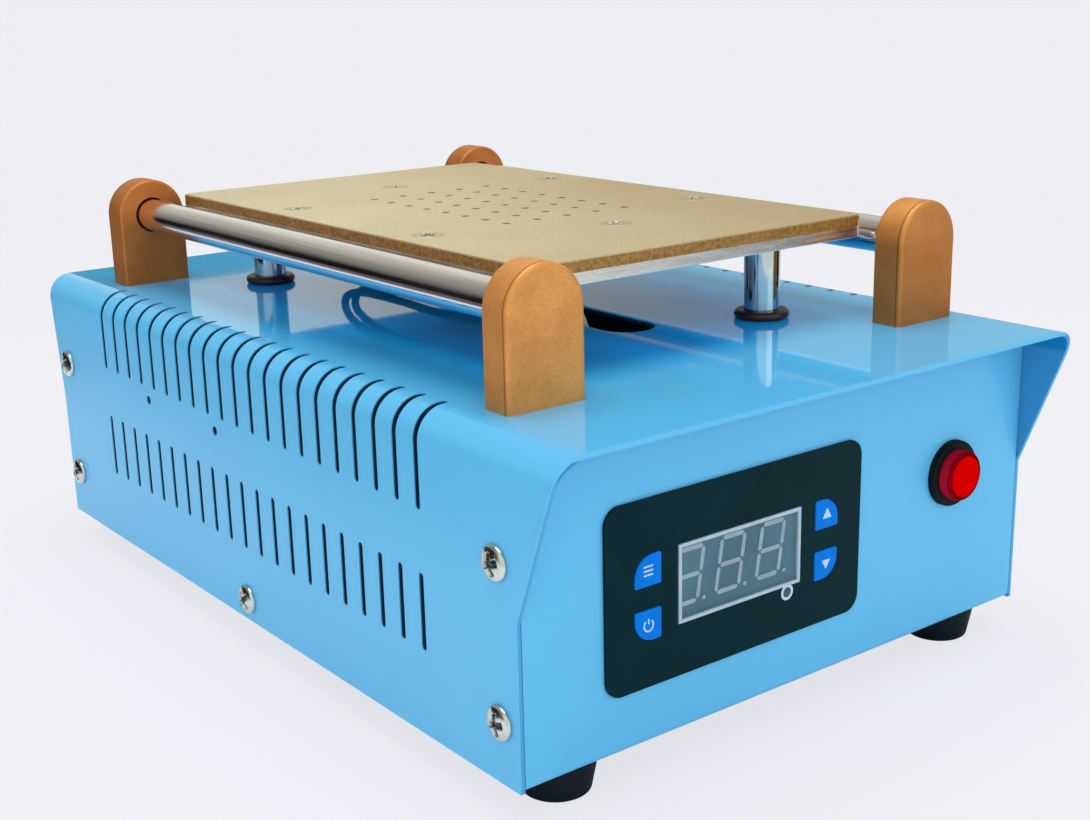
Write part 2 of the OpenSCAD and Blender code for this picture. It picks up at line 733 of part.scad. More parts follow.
// Routes in the frame of the whole: hose from the barb to the pump, leads from the pad to the board
hose_route = [[0, -10, 104], [0, -15, 104], [0, -21, 102.5], [0, -27, 98.5], [0.3, -32, 92.5], [1, -36, 85],
    [3, -38, 76], [8, -36, 67], [15, -28, 61], [23, -16, 59], [29, -4, 60], [31.2, 4, 57.5],
    [31.25, 7.2, 51], [31.25, 7.25, 46], [31.25, 7.25, 41.5]];
lead_routes = [
    [[-9, 40, 109.65], [-10, 50, 109.6], [-12, 60, 107.5], [-14, 67, 103], [-15, 66, 97],
        [-14, 57, 94.4], [-11, 40, 95], [-7, 22, 97], [-3, 2, 97], [-1, -12, 95], [0, -18, 89], [-1, -22, 80],
        [-4, -40, 66], [-6, -66, 57], [-9, -86, 50.5], [-9.4, -94, 48.5], [-9.4, -100.7, 48.5]],
    [[-4, 40, 109.65], [-5, 52, 109.5], [-7, 63, 107], [-9, 70, 102.5], [-10, 67, 96.5], [-9, 58, 93.8],
        [-6, 40, 93.6], [-2, 22, 94], [2, 2, 94.6], [3.4, -12, 93], [4, -19, 87], [3, -24, 78],
        [-1, -42, 63], [-1.5, -68, 54], [-4, -86, 49.5], [-4.4, -94, 48.5], [-4.4, -100.7, 48.5]]];
sensor_route = [[16, 6, 110.1], [14, -2, 109.6], [12, -9, 107], [9.5, -14.5, 101], [8, -17, 93],
    [7.5, -18, 85], [7, -22, 74], [3, -40, 58], [2, -66, 50], [1, -86, 48.5], [0.6, -94, 48.5],
    [0.6, -100.7, 48.5]];
module vacuum_hose() color("#dfe3e4") tube(hose_route, hose_r, hose_sides);
module heater_leads() color("#1d2a33") for (route = lead_routes) tube(route, lead_r, lead_sides);
module sensor_lead() color("#e8e4da") tube(sensor_route, sensor_r, lead_sides);

// Control overlay, display and keys; children of at_panel lie on the overlay's plane
module at_panel() in_place() translate([panel_x, 0, panel_z]) children();
module key_outline(grow) {
    w = key_w + 2 * grow;
    h = key_h + 2 * grow;
    r = key_corner_r + grow;
    translate([-w / 2, -h / 2]) {
        square([w, h - r]);
        translate([r, 0]) square([w - r, h]);
        translate([r, h - r]) intersection() {
            circle(r);
            translate([-r, 0]) square(r);
        }
    }
}
module key_place(sx, sz) translate([sx * key_dx, sz * key_dz - key_drop])
    mirror([sx > 0 ? 1 : 0, 0]) mirror([0, sz > 0 ? 0 : 1]) children();
module control_overlay() color("#12323a") at_panel() upright(panel_y - overlay_t, overlay_t)
    difference() {
        round_rect(overlay_w, overlay_h, overlay_corner_r);
        bar2d(display_w + 2 * window_gap, display_h + 2 * window_gap);
        for (sx = [-1, 1], sz = [-1, 1]) key_place(sx, sz) key_outline(window_gap);
        translate([led_dx, -led_dz]) circle(led_r + run_gap);
    }
display_l = board_off + sheet_t + overlay_t + rim_rise;
module display_body() color("white") at_panel() difference() {
    upright(panel_y - overlay_t - rim_rise, display_l) bar2d(display_w, display_h);
    upright(panel_y - overlay_t - rim_rise - over, over + face_depth + face_t)
        bar2d(display_w - 2 * rim_w, display_h - 2 * rim_w);
}
face_y = panel_y - overlay_t - rim_rise + face_depth;
module display_face() color("#6d7c86") at_panel() upright(face_y, face_t)
    bar2d(display_w - 2 * rim_w, display_h - 2 * rim_w);

// One bar of a digit, pointed at both ends, and the seven bars with their dot
module segment(l) polygon([[-l / 2, 0], [(segment_w - l) / 2, segment_w / 2],
    [(l - segment_w) / 2, segment_w / 2], [l / 2, 0], [(l - segment_w) / 2, -segment_w / 2],
    [(segment_w - l) / 2, -segment_w / 2]]);
module digit_2d() {
    across = digit_w - segment_w;
    half = (digit_h - segment_w) / 2;
    lean = tan(digit_slant);
    for (z = [-half, 0, half]) translate([z * lean, z]) segment(across - 2 * segment_gap);
    for (sx = [-1, 1], sz = [-1, 1])
        translate([sx * across / 2 + sz * half / 2 * lean, sz * half / 2])
            rotate(90 - digit_slant) segment(half / cos(digit_slant) - 2 * segment_gap);
    translate([digit_w / 2 + dot_r + dot_gap - half * lean, -half - segment_w / 2 + dot_r])
        circle(dot_r);
}
module display_digits() color("#cfd6d8") at_panel() upright(face_y - segment_t, segment_t)
    intersection() {
        bar2d(display_w - 2 * rim_w, display_h - 2 * rim_w);
        for (i = [-1:1]) translate([digit_dx + i * digit_pitch, digit_rise]) digit_2d();
    }

// Key: cap in the overlay's window, flange behind the overlay, stem to its switch
key_back = board_off + sheet_t - switch_h - 2 * switch_gap - key_flange_t;
module key(sx, sz) color("#1f73e0") at_panel() {
    upright(panel_y - overlay_t - key_rise, overlay_t + key_rise + run_gap)
        key_place(sx, sz) key_outline(0);
    upright(panel_y + run_gap, key_flange_t) key_place(sx, sz) key_outline(key_flange);
    upright(panel_y + run_gap + key_flange_t, key_back - run_gap) key_place(sx, sz) circle(key_stem_r);
}
module key_set() key(-1, 1);
module key_power() key(-1, -1);
module key_up() key(1, 1);
module key_down() key(1, -1);
module status_led() color("#d8e4e6") at_panel() {
    translate([led_dx, 0, -led_dz]) rod_y(led_r, panel_y - overlay_t, overlay_t + board_off + sheet_t);
    translate([led_dx, 0, -led_dz]) rod_y(led_flange_r, panel_y + sheet_t, sheet_t);
}

// Control board with its switches, relay and terminals, on four standoffs
module board_places() corners(standoff_dx, standoff_dz) children();
module control_board() color("#1f6b3a") at_panel() upright(board_y, board_t) difference() {
    bar2d(board_w, board_h);
    board_places() circle(m3_r + pass_gap);
}
module key_switches() color("#232527") at_panel() {
    upright(board_y - switch_h, switch_h) for (sx = [-1, 1], sz = [-1, 1])
        key_place(sx, sz) bar2d(switch_w, switch_w);
    upright(board_y - switch_h - switch_gap, switch_gap)
        for (sx = [-1, 1], sz = [-1, 1]) key_place(sx, sz) circle(plunger_r);
}
module board_relay() color("#2456a5") at_panel()
    translate([relay_x, board_y + board_t + relay_size[2] / 2, -relay_size[1] / 2])
        block([relay_size[0], relay_size[2], relay_size[1]]);
module terminal_block() color("#2f8a4e") at_panel()
    translate([terminal_x, board_y + board_t + terminal_size[1] / 2, -terminal_size[2] / 2])
        block(terminal_size);
module board_standoffs() color("#c9ccd0") at_panel() {
    upright(panel_y + sheet_t, board_off) board_places() circle(standoff_r);
    upright(board_y, board_t + sheet_t) board_places() circle(m3_r);
    upright(board_y + board_t, sheet_t) board_places() circle(m3_pan_r);
}

// Start button in the panel
module start_body() color("#141416") in_place() translate([start_x, 0, start_z]) difference() {
    union() {
        rotate([90, 0, 0]) translate([0, 0, -panel_y]) rotate_extrude() {
            square([bezel_r - bezel_round, bezel_t]);
            square([bezel_r, bezel_t - bezel_round]);
            translate([bezel_r - bezel_round, bezel_t - bezel_round]) circle(bezel_round);
        }
        rod_y(barrel_r, panel_y, barrel_l);
        for (s = [-1, 1]) translate([s * lug_dx, panel_y + barrel_l + lug_size[1] / 2, 0])
            block([lug_size[2], lug_size[1], lug_size[0]], -lug_size[0] / 2);
    }
    rod_y(cap_r + cap_gap, panel_y - bezel_t - over, bezel_t + over + cap_in + cap_travel + cap_gap);
}
module start_nut() color("#1d1d1f") in_place() translate([start_x, 0, start_z]) difference() {
    upright(panel_y + sheet_t, start_nut_h) hexagon(start_nut_af);
    rod_y(barrel_r + run_gap, panel_y, sheet_t + start_nut_h + over);
}
module start_cap() color("#d40f12") in_place() translate([start_x, 0, start_z])
    rotate([90, 0, 0]) translate([0, 0, -panel_y - cap_in]) rotate_extrude() {
        square([cap_r - cap_round, cap_in + cap_out]);
        square([cap_r, cap_in + cap_out - cap_round]);
        translate([cap_r - cap_round, cap_in + cap_out - cap_round]) circle(cap_round);
    }

// Vacuum pump: motor in a cradle under a strap, with its head in front
module pump_motor() color("#b8bcc0") in_place() translate([pump_x, pump_y, pump_z]) {
    rod_y(motor_r, 0, motor_l);
    rod_y(motor_boss_r, motor_l, motor_boss_l);
}
module pump_head() color("#e6e7e3") in_place() translate([pump_x, pump_y, pump_z]) {
    upright(-head_l, head_l) round_rect(head_w, head_h, tray_bend_r);
    for (s = [-1, 1]) translate([s * head_w / 4, -head_l / 2, head_h / 2])
        cylinder(r = nipple_r, h = nipple_l);
}
module pump_cradle() color("#2b2c2e") in_place()
    translate([pump_x, pump_y + motor_l / 2, floor_z]) difference() {
        block([cradle_w, cradle_l, cradle_under + motor_r]);
        translate([0, 0, cradle_under + motor_r]) rod_y(motor_r + run_gap, -cradle_l, 2 * cradle_l);
        for (s = [-1, 1]) translate([s * (motor_r + strap_ear / 2), 0, -over])
            cylinder(r = m3_r + run_gap, h = cradle_under + motor_r + 2 * over);
    }
module strap_places() translate([pump_x, pump_y + motor_l / 2, 0])
    for (s = [-1, 1]) translate([s * (motor_r + strap_ear / 2), 0, 0]) children();
module pump_strap() color("#c4c8cc") in_place() {
    translate([pump_x, 0, pump_z]) upright(pump_y + (motor_l - strap_l) / 2, strap_l) difference() {
        union() {
            circle(motor_r + strap_t);
            translate([-motor_r - strap_ear, 0]) square([2 * (motor_r + strap_ear), strap_t]);
        }
        circle(motor_r + run_gap);
        translate([-2 * motor_r, -2 * motor_r]) square([4 * motor_r, 2 * motor_r]);
    }
    strap_places() translate([0, 0, pump_z + strap_t])
        pan_screw(m3_r, strap_t + motor_r + cradle_under + sheet_t, m3_pan_r, m3_pan_h);
}

// Power supply board on the tray's floor
module power_places() translate([power_x, power_y, 0])
    corners(power_w / 2 - power_screw_in, power_l / 2 - power_screw_in) children();
module power_board() color("#2a7a45") in_place() difference() {
    translate([power_x, power_y, floor_z + power_off]) block([power_w, power_l, board_t]);
    translate([0, 0, floor_z + power_off - over]) power_places()
        cylinder(r = m3_r + pass_gap, h = board_t + 2 * over);
}
module power_parts() color("#d9b43a") in_place()
    translate([power_x, power_y, floor_z + power_off + board_t]) {
        translate([0, -power_l / 8, 0]) {
            block(coil_size);
            block(coil_core_size, (coil_size[2] - coil_core_size[2]) / 2);
        }
        translate([power_w / 4 - cap_can_r / 2, power_l / 4, 0]) cylinder(r = cap_can_r, h = cap_can_l);
        translate([sink_size[0] - power_w / 4, power_l / 4, 0]) {
            block(sink_size);
            for (i = [-1:1]) translate([-sink_fin / 2, i * sink_size[1] / 3, 0])
                block([sink_fin, sink_size[0] / 2, sink_size[2]]);
        }
    }
module power_standoffs() color("#c9ccd0") in_place() power_places() {
    translate([0, 0, floor_z]) cylinder(r = standoff_r, h = power_off);
    translate([0, 0, base_z]) cylinder(r = m3_r, h = sheet_t + power_off + board_t);
    translate([0, 0, floor_z + power_off + board_t]) cylinder(r = m3_pan_r, h = m3_pan_h);
}

// Mains inlet and rocker switch in the rear panel
module inlet_socket() color("#1a1a1c") in_place() translate([inlet_x, 0, inlet_z]) {
    difference() {
        union() {
            upright(-panel_y, inlet_flange_t) round_rect(inlet_flange_w, inlet_flange_h, inlet_corner_r);
            upright(-panel_y - inlet_body_l, inlet_body_l) bar2d(inlet_body_w, inlet_body_h);
        }
        upright(-panel_y + inlet_flange_t - inlet_cavity_l, inlet_cavity_l + over) difference() {
            bar2d(inlet_cavity_w, inlet_cavity_h);
            for (s = [-1, 1]) translate([s * inlet_cavity_w / 2, inlet_cavity_h / 2]) rotate(45)
                bar2d(inlet_corner_r, inlet_corner_r);
        }
        for (s = [-1, 1]) translate([s * inlet_screw_dx, 0, 0])
            rod_y(m3_r + pass_gap, -panel_y - over, inlet_flange_t + 2 * over);
    }
    for (p = [[-1, -1], [0, 1], [1, -1]])
        translate([p[0] * inlet_pin_dx, -panel_y + inlet_flange_t - inlet_cavity_l + inlet_pin_size[1] / 2,
            p[1] * inlet_pin_dz - inlet_pin_size[2] / 2]) block(inlet_pin_size);
}
module inlet_screws() color("#202022") in_place() for (s = [-1, 1])
    translate([inlet_x + s * inlet_screw_dx, -panel_y + inlet_flange_t, inlet_z]) rotate([-90, 0, 0])
        pan_screw(m3_r, inlet_flange_t + sheet_t + m3_pan_h, m3_pan_r, m3_pan_h);
rocker_pivot_y = -panel_y - rocker_pivot_r;
module rocker_housing() color("#1a1a1c") in_place() translate([rocker_x, 0, rocker_z]) difference() {
    union() {
        upright(-panel_y, rocker_flange_t)
            round_rect(rocker_flange_w, rocker_flange_h, rocker_wall);
        upright(-panel_y - rocker_body_l, rocker_body_l) bar2d(rocker_body_w, rocker_body_h);
    }
    upright(-panel_y + rocker_flange_t - rocker_body_l + rocker_wall, rocker_body_l)
        bar2d(rocker_w + 2 * window_gap, rocker_h + rocker_wall);
    translate([0, rocker_pivot_y, 0])
        rod_x(rocker_pivot_r + run_gap, -rocker_body_w / 2 + rocker_wall / 2, rocker_body_w - rocker_wall);
}
module rocker_shape() {
    top = rocker_pivot_r + rocker_flange_t + rocker_rise;
    polygon([[-rocker_pivot_r, -rocker_h / 2 + rocker_wall], [top - rocker_wall, -rocker_h / 2],
        [top, -rocker_h / 2 + rocker_wall / 2], [top - rocker_valley, 0],
        [top, rocker_h / 2 - rocker_wall / 2], [top - rocker_wall, rocker_h / 2],
        [-rocker_pivot_r, rocker_h / 2 - rocker_wall]]);
}
module mains_rocker() color("#26262a") in_place()
    translate([rocker_x, rocker_pivot_y, rocker_z]) rotate([-rocker_tilt, 0, 0]) {
        sideways(-rocker_w / 2, rocker_w) rocker_shape();
        rod_x(rocker_pivot_r, -rocker_w / 2 - window_gap - rocker_wall / 2,
            rocker_w + 2 * window_gap + rocker_wall);
    }

top_cover();
chassis_tray();
foot_front_left();
foot_front_right();
foot_rear_left();
foot_rear_right();
foot_screws();
foot_nuts();
cover_screws_left();
cover_screws_right();
bracket_front_left();
bracket_front_right();
bracket_rear_left();
bracket_rear_right();
bracket_screws();
roller_bushes();
roller_left();
roller_right();
hot_plate();
vacuum_plate();
plate_screws();
heater_pad();
post_front_left();
post_front_right();
post_rear_left();
post_rear_right();
post_collars();
post_screws();
vacuum_elbow();
vacuum_hose();
heater_leads();
sensor_lead();
control_overlay();
display_body();
display_face();
display_digits();
control_board();
key_switches();
board_relay();
terminal_block();
board_standoffs();
status_led();
key_set();
key_power();
key_up();
key_down();
start_body();
start_nut();
start_cap();
pump_motor();
pump_head();
pump_cradle();
pump_strap();
power_board();
power_parts();
power_standoffs();
inlet_socket();
inlet_screws();
rocker_housing();
mains_rocker();
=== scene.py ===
import json
import math

import bpy
import numpy as np
from mathutils import Matrix, Vector


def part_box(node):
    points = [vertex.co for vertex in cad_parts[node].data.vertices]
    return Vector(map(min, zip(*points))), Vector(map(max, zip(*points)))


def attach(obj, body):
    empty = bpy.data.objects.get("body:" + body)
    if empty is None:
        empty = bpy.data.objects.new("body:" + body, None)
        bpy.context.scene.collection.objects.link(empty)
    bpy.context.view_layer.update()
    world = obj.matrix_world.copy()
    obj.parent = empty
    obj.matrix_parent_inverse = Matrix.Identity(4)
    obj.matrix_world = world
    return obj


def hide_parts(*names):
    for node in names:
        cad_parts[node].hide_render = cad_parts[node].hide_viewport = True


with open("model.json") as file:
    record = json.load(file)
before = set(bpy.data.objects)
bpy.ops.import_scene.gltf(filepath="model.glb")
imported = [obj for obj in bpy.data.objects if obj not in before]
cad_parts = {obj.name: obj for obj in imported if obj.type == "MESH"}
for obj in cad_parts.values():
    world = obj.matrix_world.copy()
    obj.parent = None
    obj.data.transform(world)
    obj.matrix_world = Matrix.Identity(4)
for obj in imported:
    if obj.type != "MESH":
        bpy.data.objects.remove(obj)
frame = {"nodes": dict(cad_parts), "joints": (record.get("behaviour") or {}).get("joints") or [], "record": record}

bl_info = {
    "name": "Screen separator",
    "version": (1, 0, 0),
    "blender": (4, 5, 0),
    "location": "3D View > Sidebar > Separator",
    "description": "Finishes, fasteners, keys, hose and leads of a heated suction plate machine",
    "category": "Object",
}

MM = 0.001
TURN = 2 * math.pi
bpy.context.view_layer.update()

# Local x, y and outward z of a face, as rows, for each way that a face can look
FACINGS = {
    "up": np.array([[1, 0, 0], [0, 1, 0], [0, 0, 1]]),
    "front": np.array([[1, 0, 0], [0, 0, 1], [0, -1, 0]]),
    "rear": np.array([[-1, 0, 0], [0, 0, 1], [0, 1, 0]]),
    "left": np.array([[0, -1, 0], [0, 0, 1], [-1, 0, 0]]),
    "right": np.array([[0, 1, 0], [0, 0, 1], [1, 0, 0]]),
}


# Properties

def display_colour(red, green, blue):
    """A colour as a screen shows it, 0 to 255 a channel, made linear."""
    share = np.array([red, green, blue]) / 255
    return tuple(np.where(share <= 0.04045, share / 12.92, ((share + 0.055) / 1.055) ** 2.4).tolist())


def colour(description, *channels):
    """A colour property, its default given as a screen shows it."""
    return bpy.props.FloatVectorProperty(
        description=description, default=display_colour(*channels), min=0, max=1, subtype="COLOR")


def length(description, millimetres):
    """A length property, its default given in millimetres."""
    return bpy.props.FloatProperty(
        description=description, default=millimetres * MM, min=0, precision=5, subtype="DISTANCE",
        unit="LENGTH")


def amount(description, value):
    """A plain number from 0 up."""
    return bpy.props.FloatProperty(description=description, default=value, min=0)


def point(description, *metres):
    """A place."""
    return bpy.props.FloatVectorProperty(
        description=description, default=metres, subtype="XYZ", unit="LENGTH")


class SeparatorColours(bpy.types.PropertyGroup):
    """Colours of the finishes."""

    paint: colour("Powder paint of the cover and the tray", 88, 183, 230)
    # Painted light: brighter, bluer paint on the deck under the plate, lifting the plate's shadow there
    paint_lit_under_plate: colour("The paint where it lies thicker, as under the plate", 24, 188, 255)
    # Painted shade: darker paint on the inner faces of the visors, where their overhang shades them
    paint_visor_shade: colour("The thinner coat on the inside of the visors", 0, 130, 188)
    # Painted shade: darker paint on the cover's upright front edges, for the shaded gap beside the front panel
    paint_edge_shade: colour("The coat on the sheet's cut edges", 62, 154, 206)
    # Painted shade: the inside of the closed case and the walls of its slots are dark where little light reaches
    case_painted_shade: colour("Inside of the closed case, walls of the slots included", 2, 44, 78)
    bronze: colour("Metallic paint of the brackets", 236, 166, 90)
    bronze_deep: colour("Darker flakes of the brackets' paint", 176, 100, 38)
    # Painted shade: the rear brackets and the lower parts of the right ones are darkened towards this
    bronze_painted_shade: colour("The darker castings", 160, 76, 8)
    plate: colour("Top of the hot plate", 222, 209, 172)
    # Painted light and shade: the hot plate's top runs from its own colour on the left to this one towards the
    # front and the right; its fine dark grain is also drawn from this colour
    plate_shade_and_grain: colour("Top of the hot plate where heat has tanned it", 190, 160, 116)
    plate_edge: colour("Sawn edge of the hot plate", 190, 138, 72)
    rolled: colour("Rolled aluminium", 234, 233, 230)
    rolled_deep: colour("Darker grain of the aluminium", 214, 213, 212)
    rolled_painted_reflection: colour("Underside of the aluminium plate", 146, 208, 240)
    # Painted reflection: the aluminium's underside is painted pale blue for the blue deck that it faces
    heater: colour("Silicone of the heater pad", 186, 84, 44)
    heater_deep: colour("Hollows of its weave", 150, 58, 26)
    red: colour("Cap of the start button", 210, 0, 2)
    # Painted shade and sheen: the cap's side is darker and pinker than its face, as the light falls on it
    red_side_shade_and_sheen: colour("Side of the start cap", 192, 24, 52)
    # Painted shade: the dark red in the cap's groove and, at seven tenths, on its front rim
    red_painted_shade: colour("Groove of the start cap", 96, 0, 14)
    key: colour("Keys of the front panel", 0, 120, 224)
    sign: colour("Print on the keys and round the lamp", 176, 214, 240)
    overlay: colour("Film round the display", 0, 40, 46)
    slate: colour("Window of the display", 80, 116, 132)
    digit: colour("Unlit bars of the digits", 142, 166, 178)
    rubber: colour("Feet", 0, 22, 30)
    floor: colour("Floor and background", 238, 238, 243)


class SeparatorSizes(bpy.types.PropertyGroup):
    """Sizes of the pieces that are made here, and of the zones of the finishes."""

    pan_radius: length("Radius of the cover's screw heads", 4.3)
    pan_height: length("Height of the cover's screw heads", 2.1)
    pan_low: length("Height of the lower corner screws above the floor", 24)
    flat_radius: length("Radius of the plate's screw heads", 4.2)
    flat_along: length("Distance of the four inner screws from the plate's middle", 34.5)
    shank_radius: length("Radius of an M4 screw", 2)
    hose_radius: length("Outside radius of the suction hose", 3.1)
    lead_radius: length("Radius of a heater lead", 1.3)
    sensor_radius: length("Radius of the sensor's lead", 0.9)
    bend: length("Outside radius of the cover's long bends", 7.7)
    tray_bend: length("Outside radius of the tray's bends", 2)
    # Painted shade: deeper than this below the outer faces, the walls of slots and holes take the dark inside
    # colour
    skin: length("Depth that the outside coat reaches on the walls of slots and holes", 0.3)
    # Painted shade on the right brackets fades out over this height below their tops
    bracket_shade_fade: length("Height over which the tops of the darker castings turn light", 12)
    # Painted shade: a dark line round the brackets at this distance from their outer faces, for the shade where
    # their rounding meets the faces
    shade_line_inset: length("Distance of the brackets' seam from their outer faces", 1.3)
    foot_rim: length("Rounding of the feet's lower rim", 0.9)
    foot_pocket: length("Radius of the pocket in a foot", 5.1)
    foot_bore: length("Radius of a foot's bore", 2.2)
    foot_floor: length("Height of the seat in a foot's pocket", 4)
    key_corner: length("Radius of a key's large corner", 5.4)
    key_small: length("Radius of a key's other corners", 0.5)
    key_round: length("Rounding of a key's front edge", 0.22)
    key_flange: length("Reach of a key's flange behind the overlay", 0.9)
    key_stem: length("Radius of a key's stem", 1.4)
    sign_stroke: length("Width of a printed line on a key", 0.42)
    sign_rise: length("Thickness of the print", 0.05)
    ring_radius: length("Radius of the printed ring round the lamp", 1.7)
    ring_stroke: length("Width of the ring's line", 0.75)
    cap_round: length("Rounding of the start cap's front edge", 0.7)
    cap_groove: length("Width of the groove round the start cap's face", 0.5)
    cap_depth: length("Depth of that groove", 0.7)
    mark_reach: length("Distance of the rocker's face from its axis", 5.05)
    mark_rise: length("Distance of the rocker's marks from its middle", 3.35)
    mark_radius: length("Half height of the rocker's marks", 1.3)
    pin_width: length("Width of a pin of the mains inlet", 2)
    pin_height: length("Height of a pin of the mains inlet", 4)
    pin_reach: length("Length of a pin of the mains inlet", 11)
    pin_aside: length("Distance of the outer pins from the inlet's middle", 7)
    pin_above: length("Distance of the pins above and below the middle", 2)
    pin_root: length("Distance of the pins' roots behind the inlet's face", 14)


class SeparatorStage(bpy.types.PropertyGroup):
    """Camera, lamps and surroundings."""

    eye: point("Place of the camera", -0.26808, -0.37136, 0.18277)
    aim: point("Point that the camera looks at", 0.01469, -0.00087, 0.05275)
    roll: bpy.props.FloatProperty(
        description="Turn of the camera about its line of sight", default=-0.02362, subtype="ANGLE",
        unit="ROTATION")
    lens: amount("Focal length in millimetres on a sensor 36 mm wide", 51.34)
    key_power: amount("Power of the large lamp on the left, in watts", 1.2)
    fill_power: amount("Power of the lamp in front, in watts", 1.7)
    top_power: amount("Power of the lamp above, in watts", 8.5)
    ambient: amount("Strength of the light from all round", 1.072)


def colours():
    return bpy.context.scene.separator_colours


def sizes():
    return bpy.context.scene.separator_sizes


# Shapes

def smooth(share):
    """The S curve 3 t^2 - 2 t^3 of a share held between 0 and 1."""
    t = np.clip(share, 0, 1)
    return t * t * (3 - 2 * t)


def units(ways):
    """Vectors made one long."""
    return ways / np.linalg.norm(ways, axis=1, keepdims=True)


def outline(corners, radii, inset=0.0, steps=6):
    """Closed outline of a convex polygon given anticlockwise, drawn in by inset, with round corners.

    Each corner is an arc from one edge's outward normal to the next one's, about the point that
    lies r / (1 + n1.n2) times (n1 + n2) in from the corner.
    """
    corners = np.asarray(corners, float)
    ahead = units(np.roll(corners, -1, axis=0) - corners)
    normal = np.column_stack([ahead[:, 1], -ahead[:, 0]])
    before = np.roll(normal, 1, axis=0)
    inward = -(before + normal) / (1 + np.sum(before * normal, axis=1))[:, None]
    radius = np.maximum(np.broadcast_to(radii, len(corners)) - inset, 1e-5)[:, None]
    centre = corners + inward * (inset + radius)
    first = np.arctan2(before[:, 1], before[:, 0])
    sweep = (np.arctan2(normal[:, 1], normal[:, 0]) - first) % TURN
    angle = first[:, None] + sweep[:, None] * np.linspace(0, 1, steps + 1)
    points = centre[:, None] + radius[:, None] * np.stack([np.cos(angle), np.sin(angle)], axis=-1)
    return points.reshape(-1, 2)


def rectangle(width, height):
    """Corners of a rectangle about its middle, anticlockwise from the lower left."""
    return np.array([[-1, -1], [1, -1], [1, 1], [-1, 1]]) * (width / 2, height / 2)


def circle(radius, steps=64):
    """Closed circle about the origin."""
    angle = np.arange(steps) * TURN / steps
    return radius * np.column_stack([np.cos(angle), np.sin(angle)])


def arc(centre, radius, start, end, steps=6):
    """Points of an arc in the plane, its angles in degrees."""
    angle = np.radians(np.linspace(start, end, steps + 1))
    return np.asarray(centre) + radius * np.column_stack([np.cos(angle), np.sin(angle)])


def raised(plane, heights):
    """Rings of plane points with heights as their third coordinate."""
    return np.concatenate([plane, np.broadcast_to(heights, plane.shape[:2] + (1,))], axis=2)


def edge_levels(low, high, low_round, high_round, steps=5, hold=1.3):
    """Insets and heights of a slab's rings: a quarter circle at each edge, and a ring further in
    that keeps the flat faces flat."""
    quarter = np.linspace(0, math.pi / 2, steps + 1)
    below = np.column_stack([low_round * (1 - np.sin(quarter)), low + low_round * (1 - np.cos(quarter))])
    above = np.column_stack([high_round * (1 - np.cos(quarter)), high - high_round * (1 - np.sin(quarter))])
    return np.vstack([[low_round * hold, low], below, above, [high_round * hold, high]])


def slab(draw, levels):
    """The skin of a slab: draw(inset) gives its outline at each level's inset and height."""
    return capped(raised(np.array([draw(inset) for inset in levels[:, 0]]), levels[:, 1:, None]))


def turned_rings(profile, steps=64):
    """Rings of a turned piece about local z: each profile point (radius, height) makes a circle."""
    profile = np.asarray(profile, float)
    return raised(profile[:, :1, None] * circle(1, steps), profile[:, 1:, None])


def shell(rings, poles=None):
    """Points and faces of a closed skin of rings, each joined to the next and round on itself.

    Two pole points close the first and the last ring with fans. Without poles the last ring joins
    the first. The faces are turned to point outwards, by the sign of the volume that they hold.
    """
    rings = np.asarray(rings, float)
    count, around = rings.shape[:2]
    i, j = np.meshgrid(np.arange(count if poles is None else count - 1), np.arange(around), indexing="ij")
    k, n = (i + 1) % count, (j + 1) % around
    quads = np.stack([i * around + j, i * around + n, k * around + n, k * around + j], axis=-1).reshape(-1, 4)
    points, fans = rings.reshape(-1, 3), np.zeros((0, 3), int)
    if poles is not None:
        ring, last = np.arange(around), (count - 1) * around
        after = (ring + 1) % around
        fans = np.vstack([
            np.column_stack([np.full(around, len(points)), after, ring]),
            np.column_stack([np.full(around, len(points) + 1), last + ring, last + after])])
        points = np.vstack([points, poles])
    triangles = np.vstack([quads[:, :3], quads[:, [0, 2, 3]], fans])
    a, b, c = points[triangles].transpose(1, 0, 2)
    if np.sum(np.cross(a, b) * c) < 0:
        quads, fans = quads[:, ::-1], fans[:, ::-1]
    return points, quads, fans


def capped(rings):
    """A skin of rings whose first and last ring are closed with fans about their own middles."""
    return shell(rings, np.array([rings[0].mean(axis=0), rings[-1].mean(axis=0)]))


def placed(skin, at, facing="up", turn=0.0, tilt=0.0):
    """A skin turned about its local z by an angle in degrees, set to face a way, tilted about the
    frame's x, and moved to a point."""
    points, quads, fans = skin
    c, s = math.cos(math.radians(turn)), math.sin(math.radians(turn))
    points = points @ np.array([[c, s, 0], [-s, c, 0], [0, 0, 1]]) @ FACINGS[facing]
    c, s = math.cos(math.radians(tilt)), math.sin(math.radians(tilt))
    return points @ np.array([[1, 0, 0], [0, c, s], [0, -s, c]]) + np.asarray(at), quads, fans


def add_object(name, data):
    """An object for a mesh, a lamp or a camera, in the scene's collection."""
    item = bpy.data.objects.new(name, data)
    bpy.context.scene.collection.objects.link(item)
    return item


def add_mesh(name, points, faces, material):
    """A mesh of one material."""
    mesh = bpy.data.meshes.new(name)
    mesh.from_pydata(points, [], faces)
    mesh.materials.append(material)
    return mesh


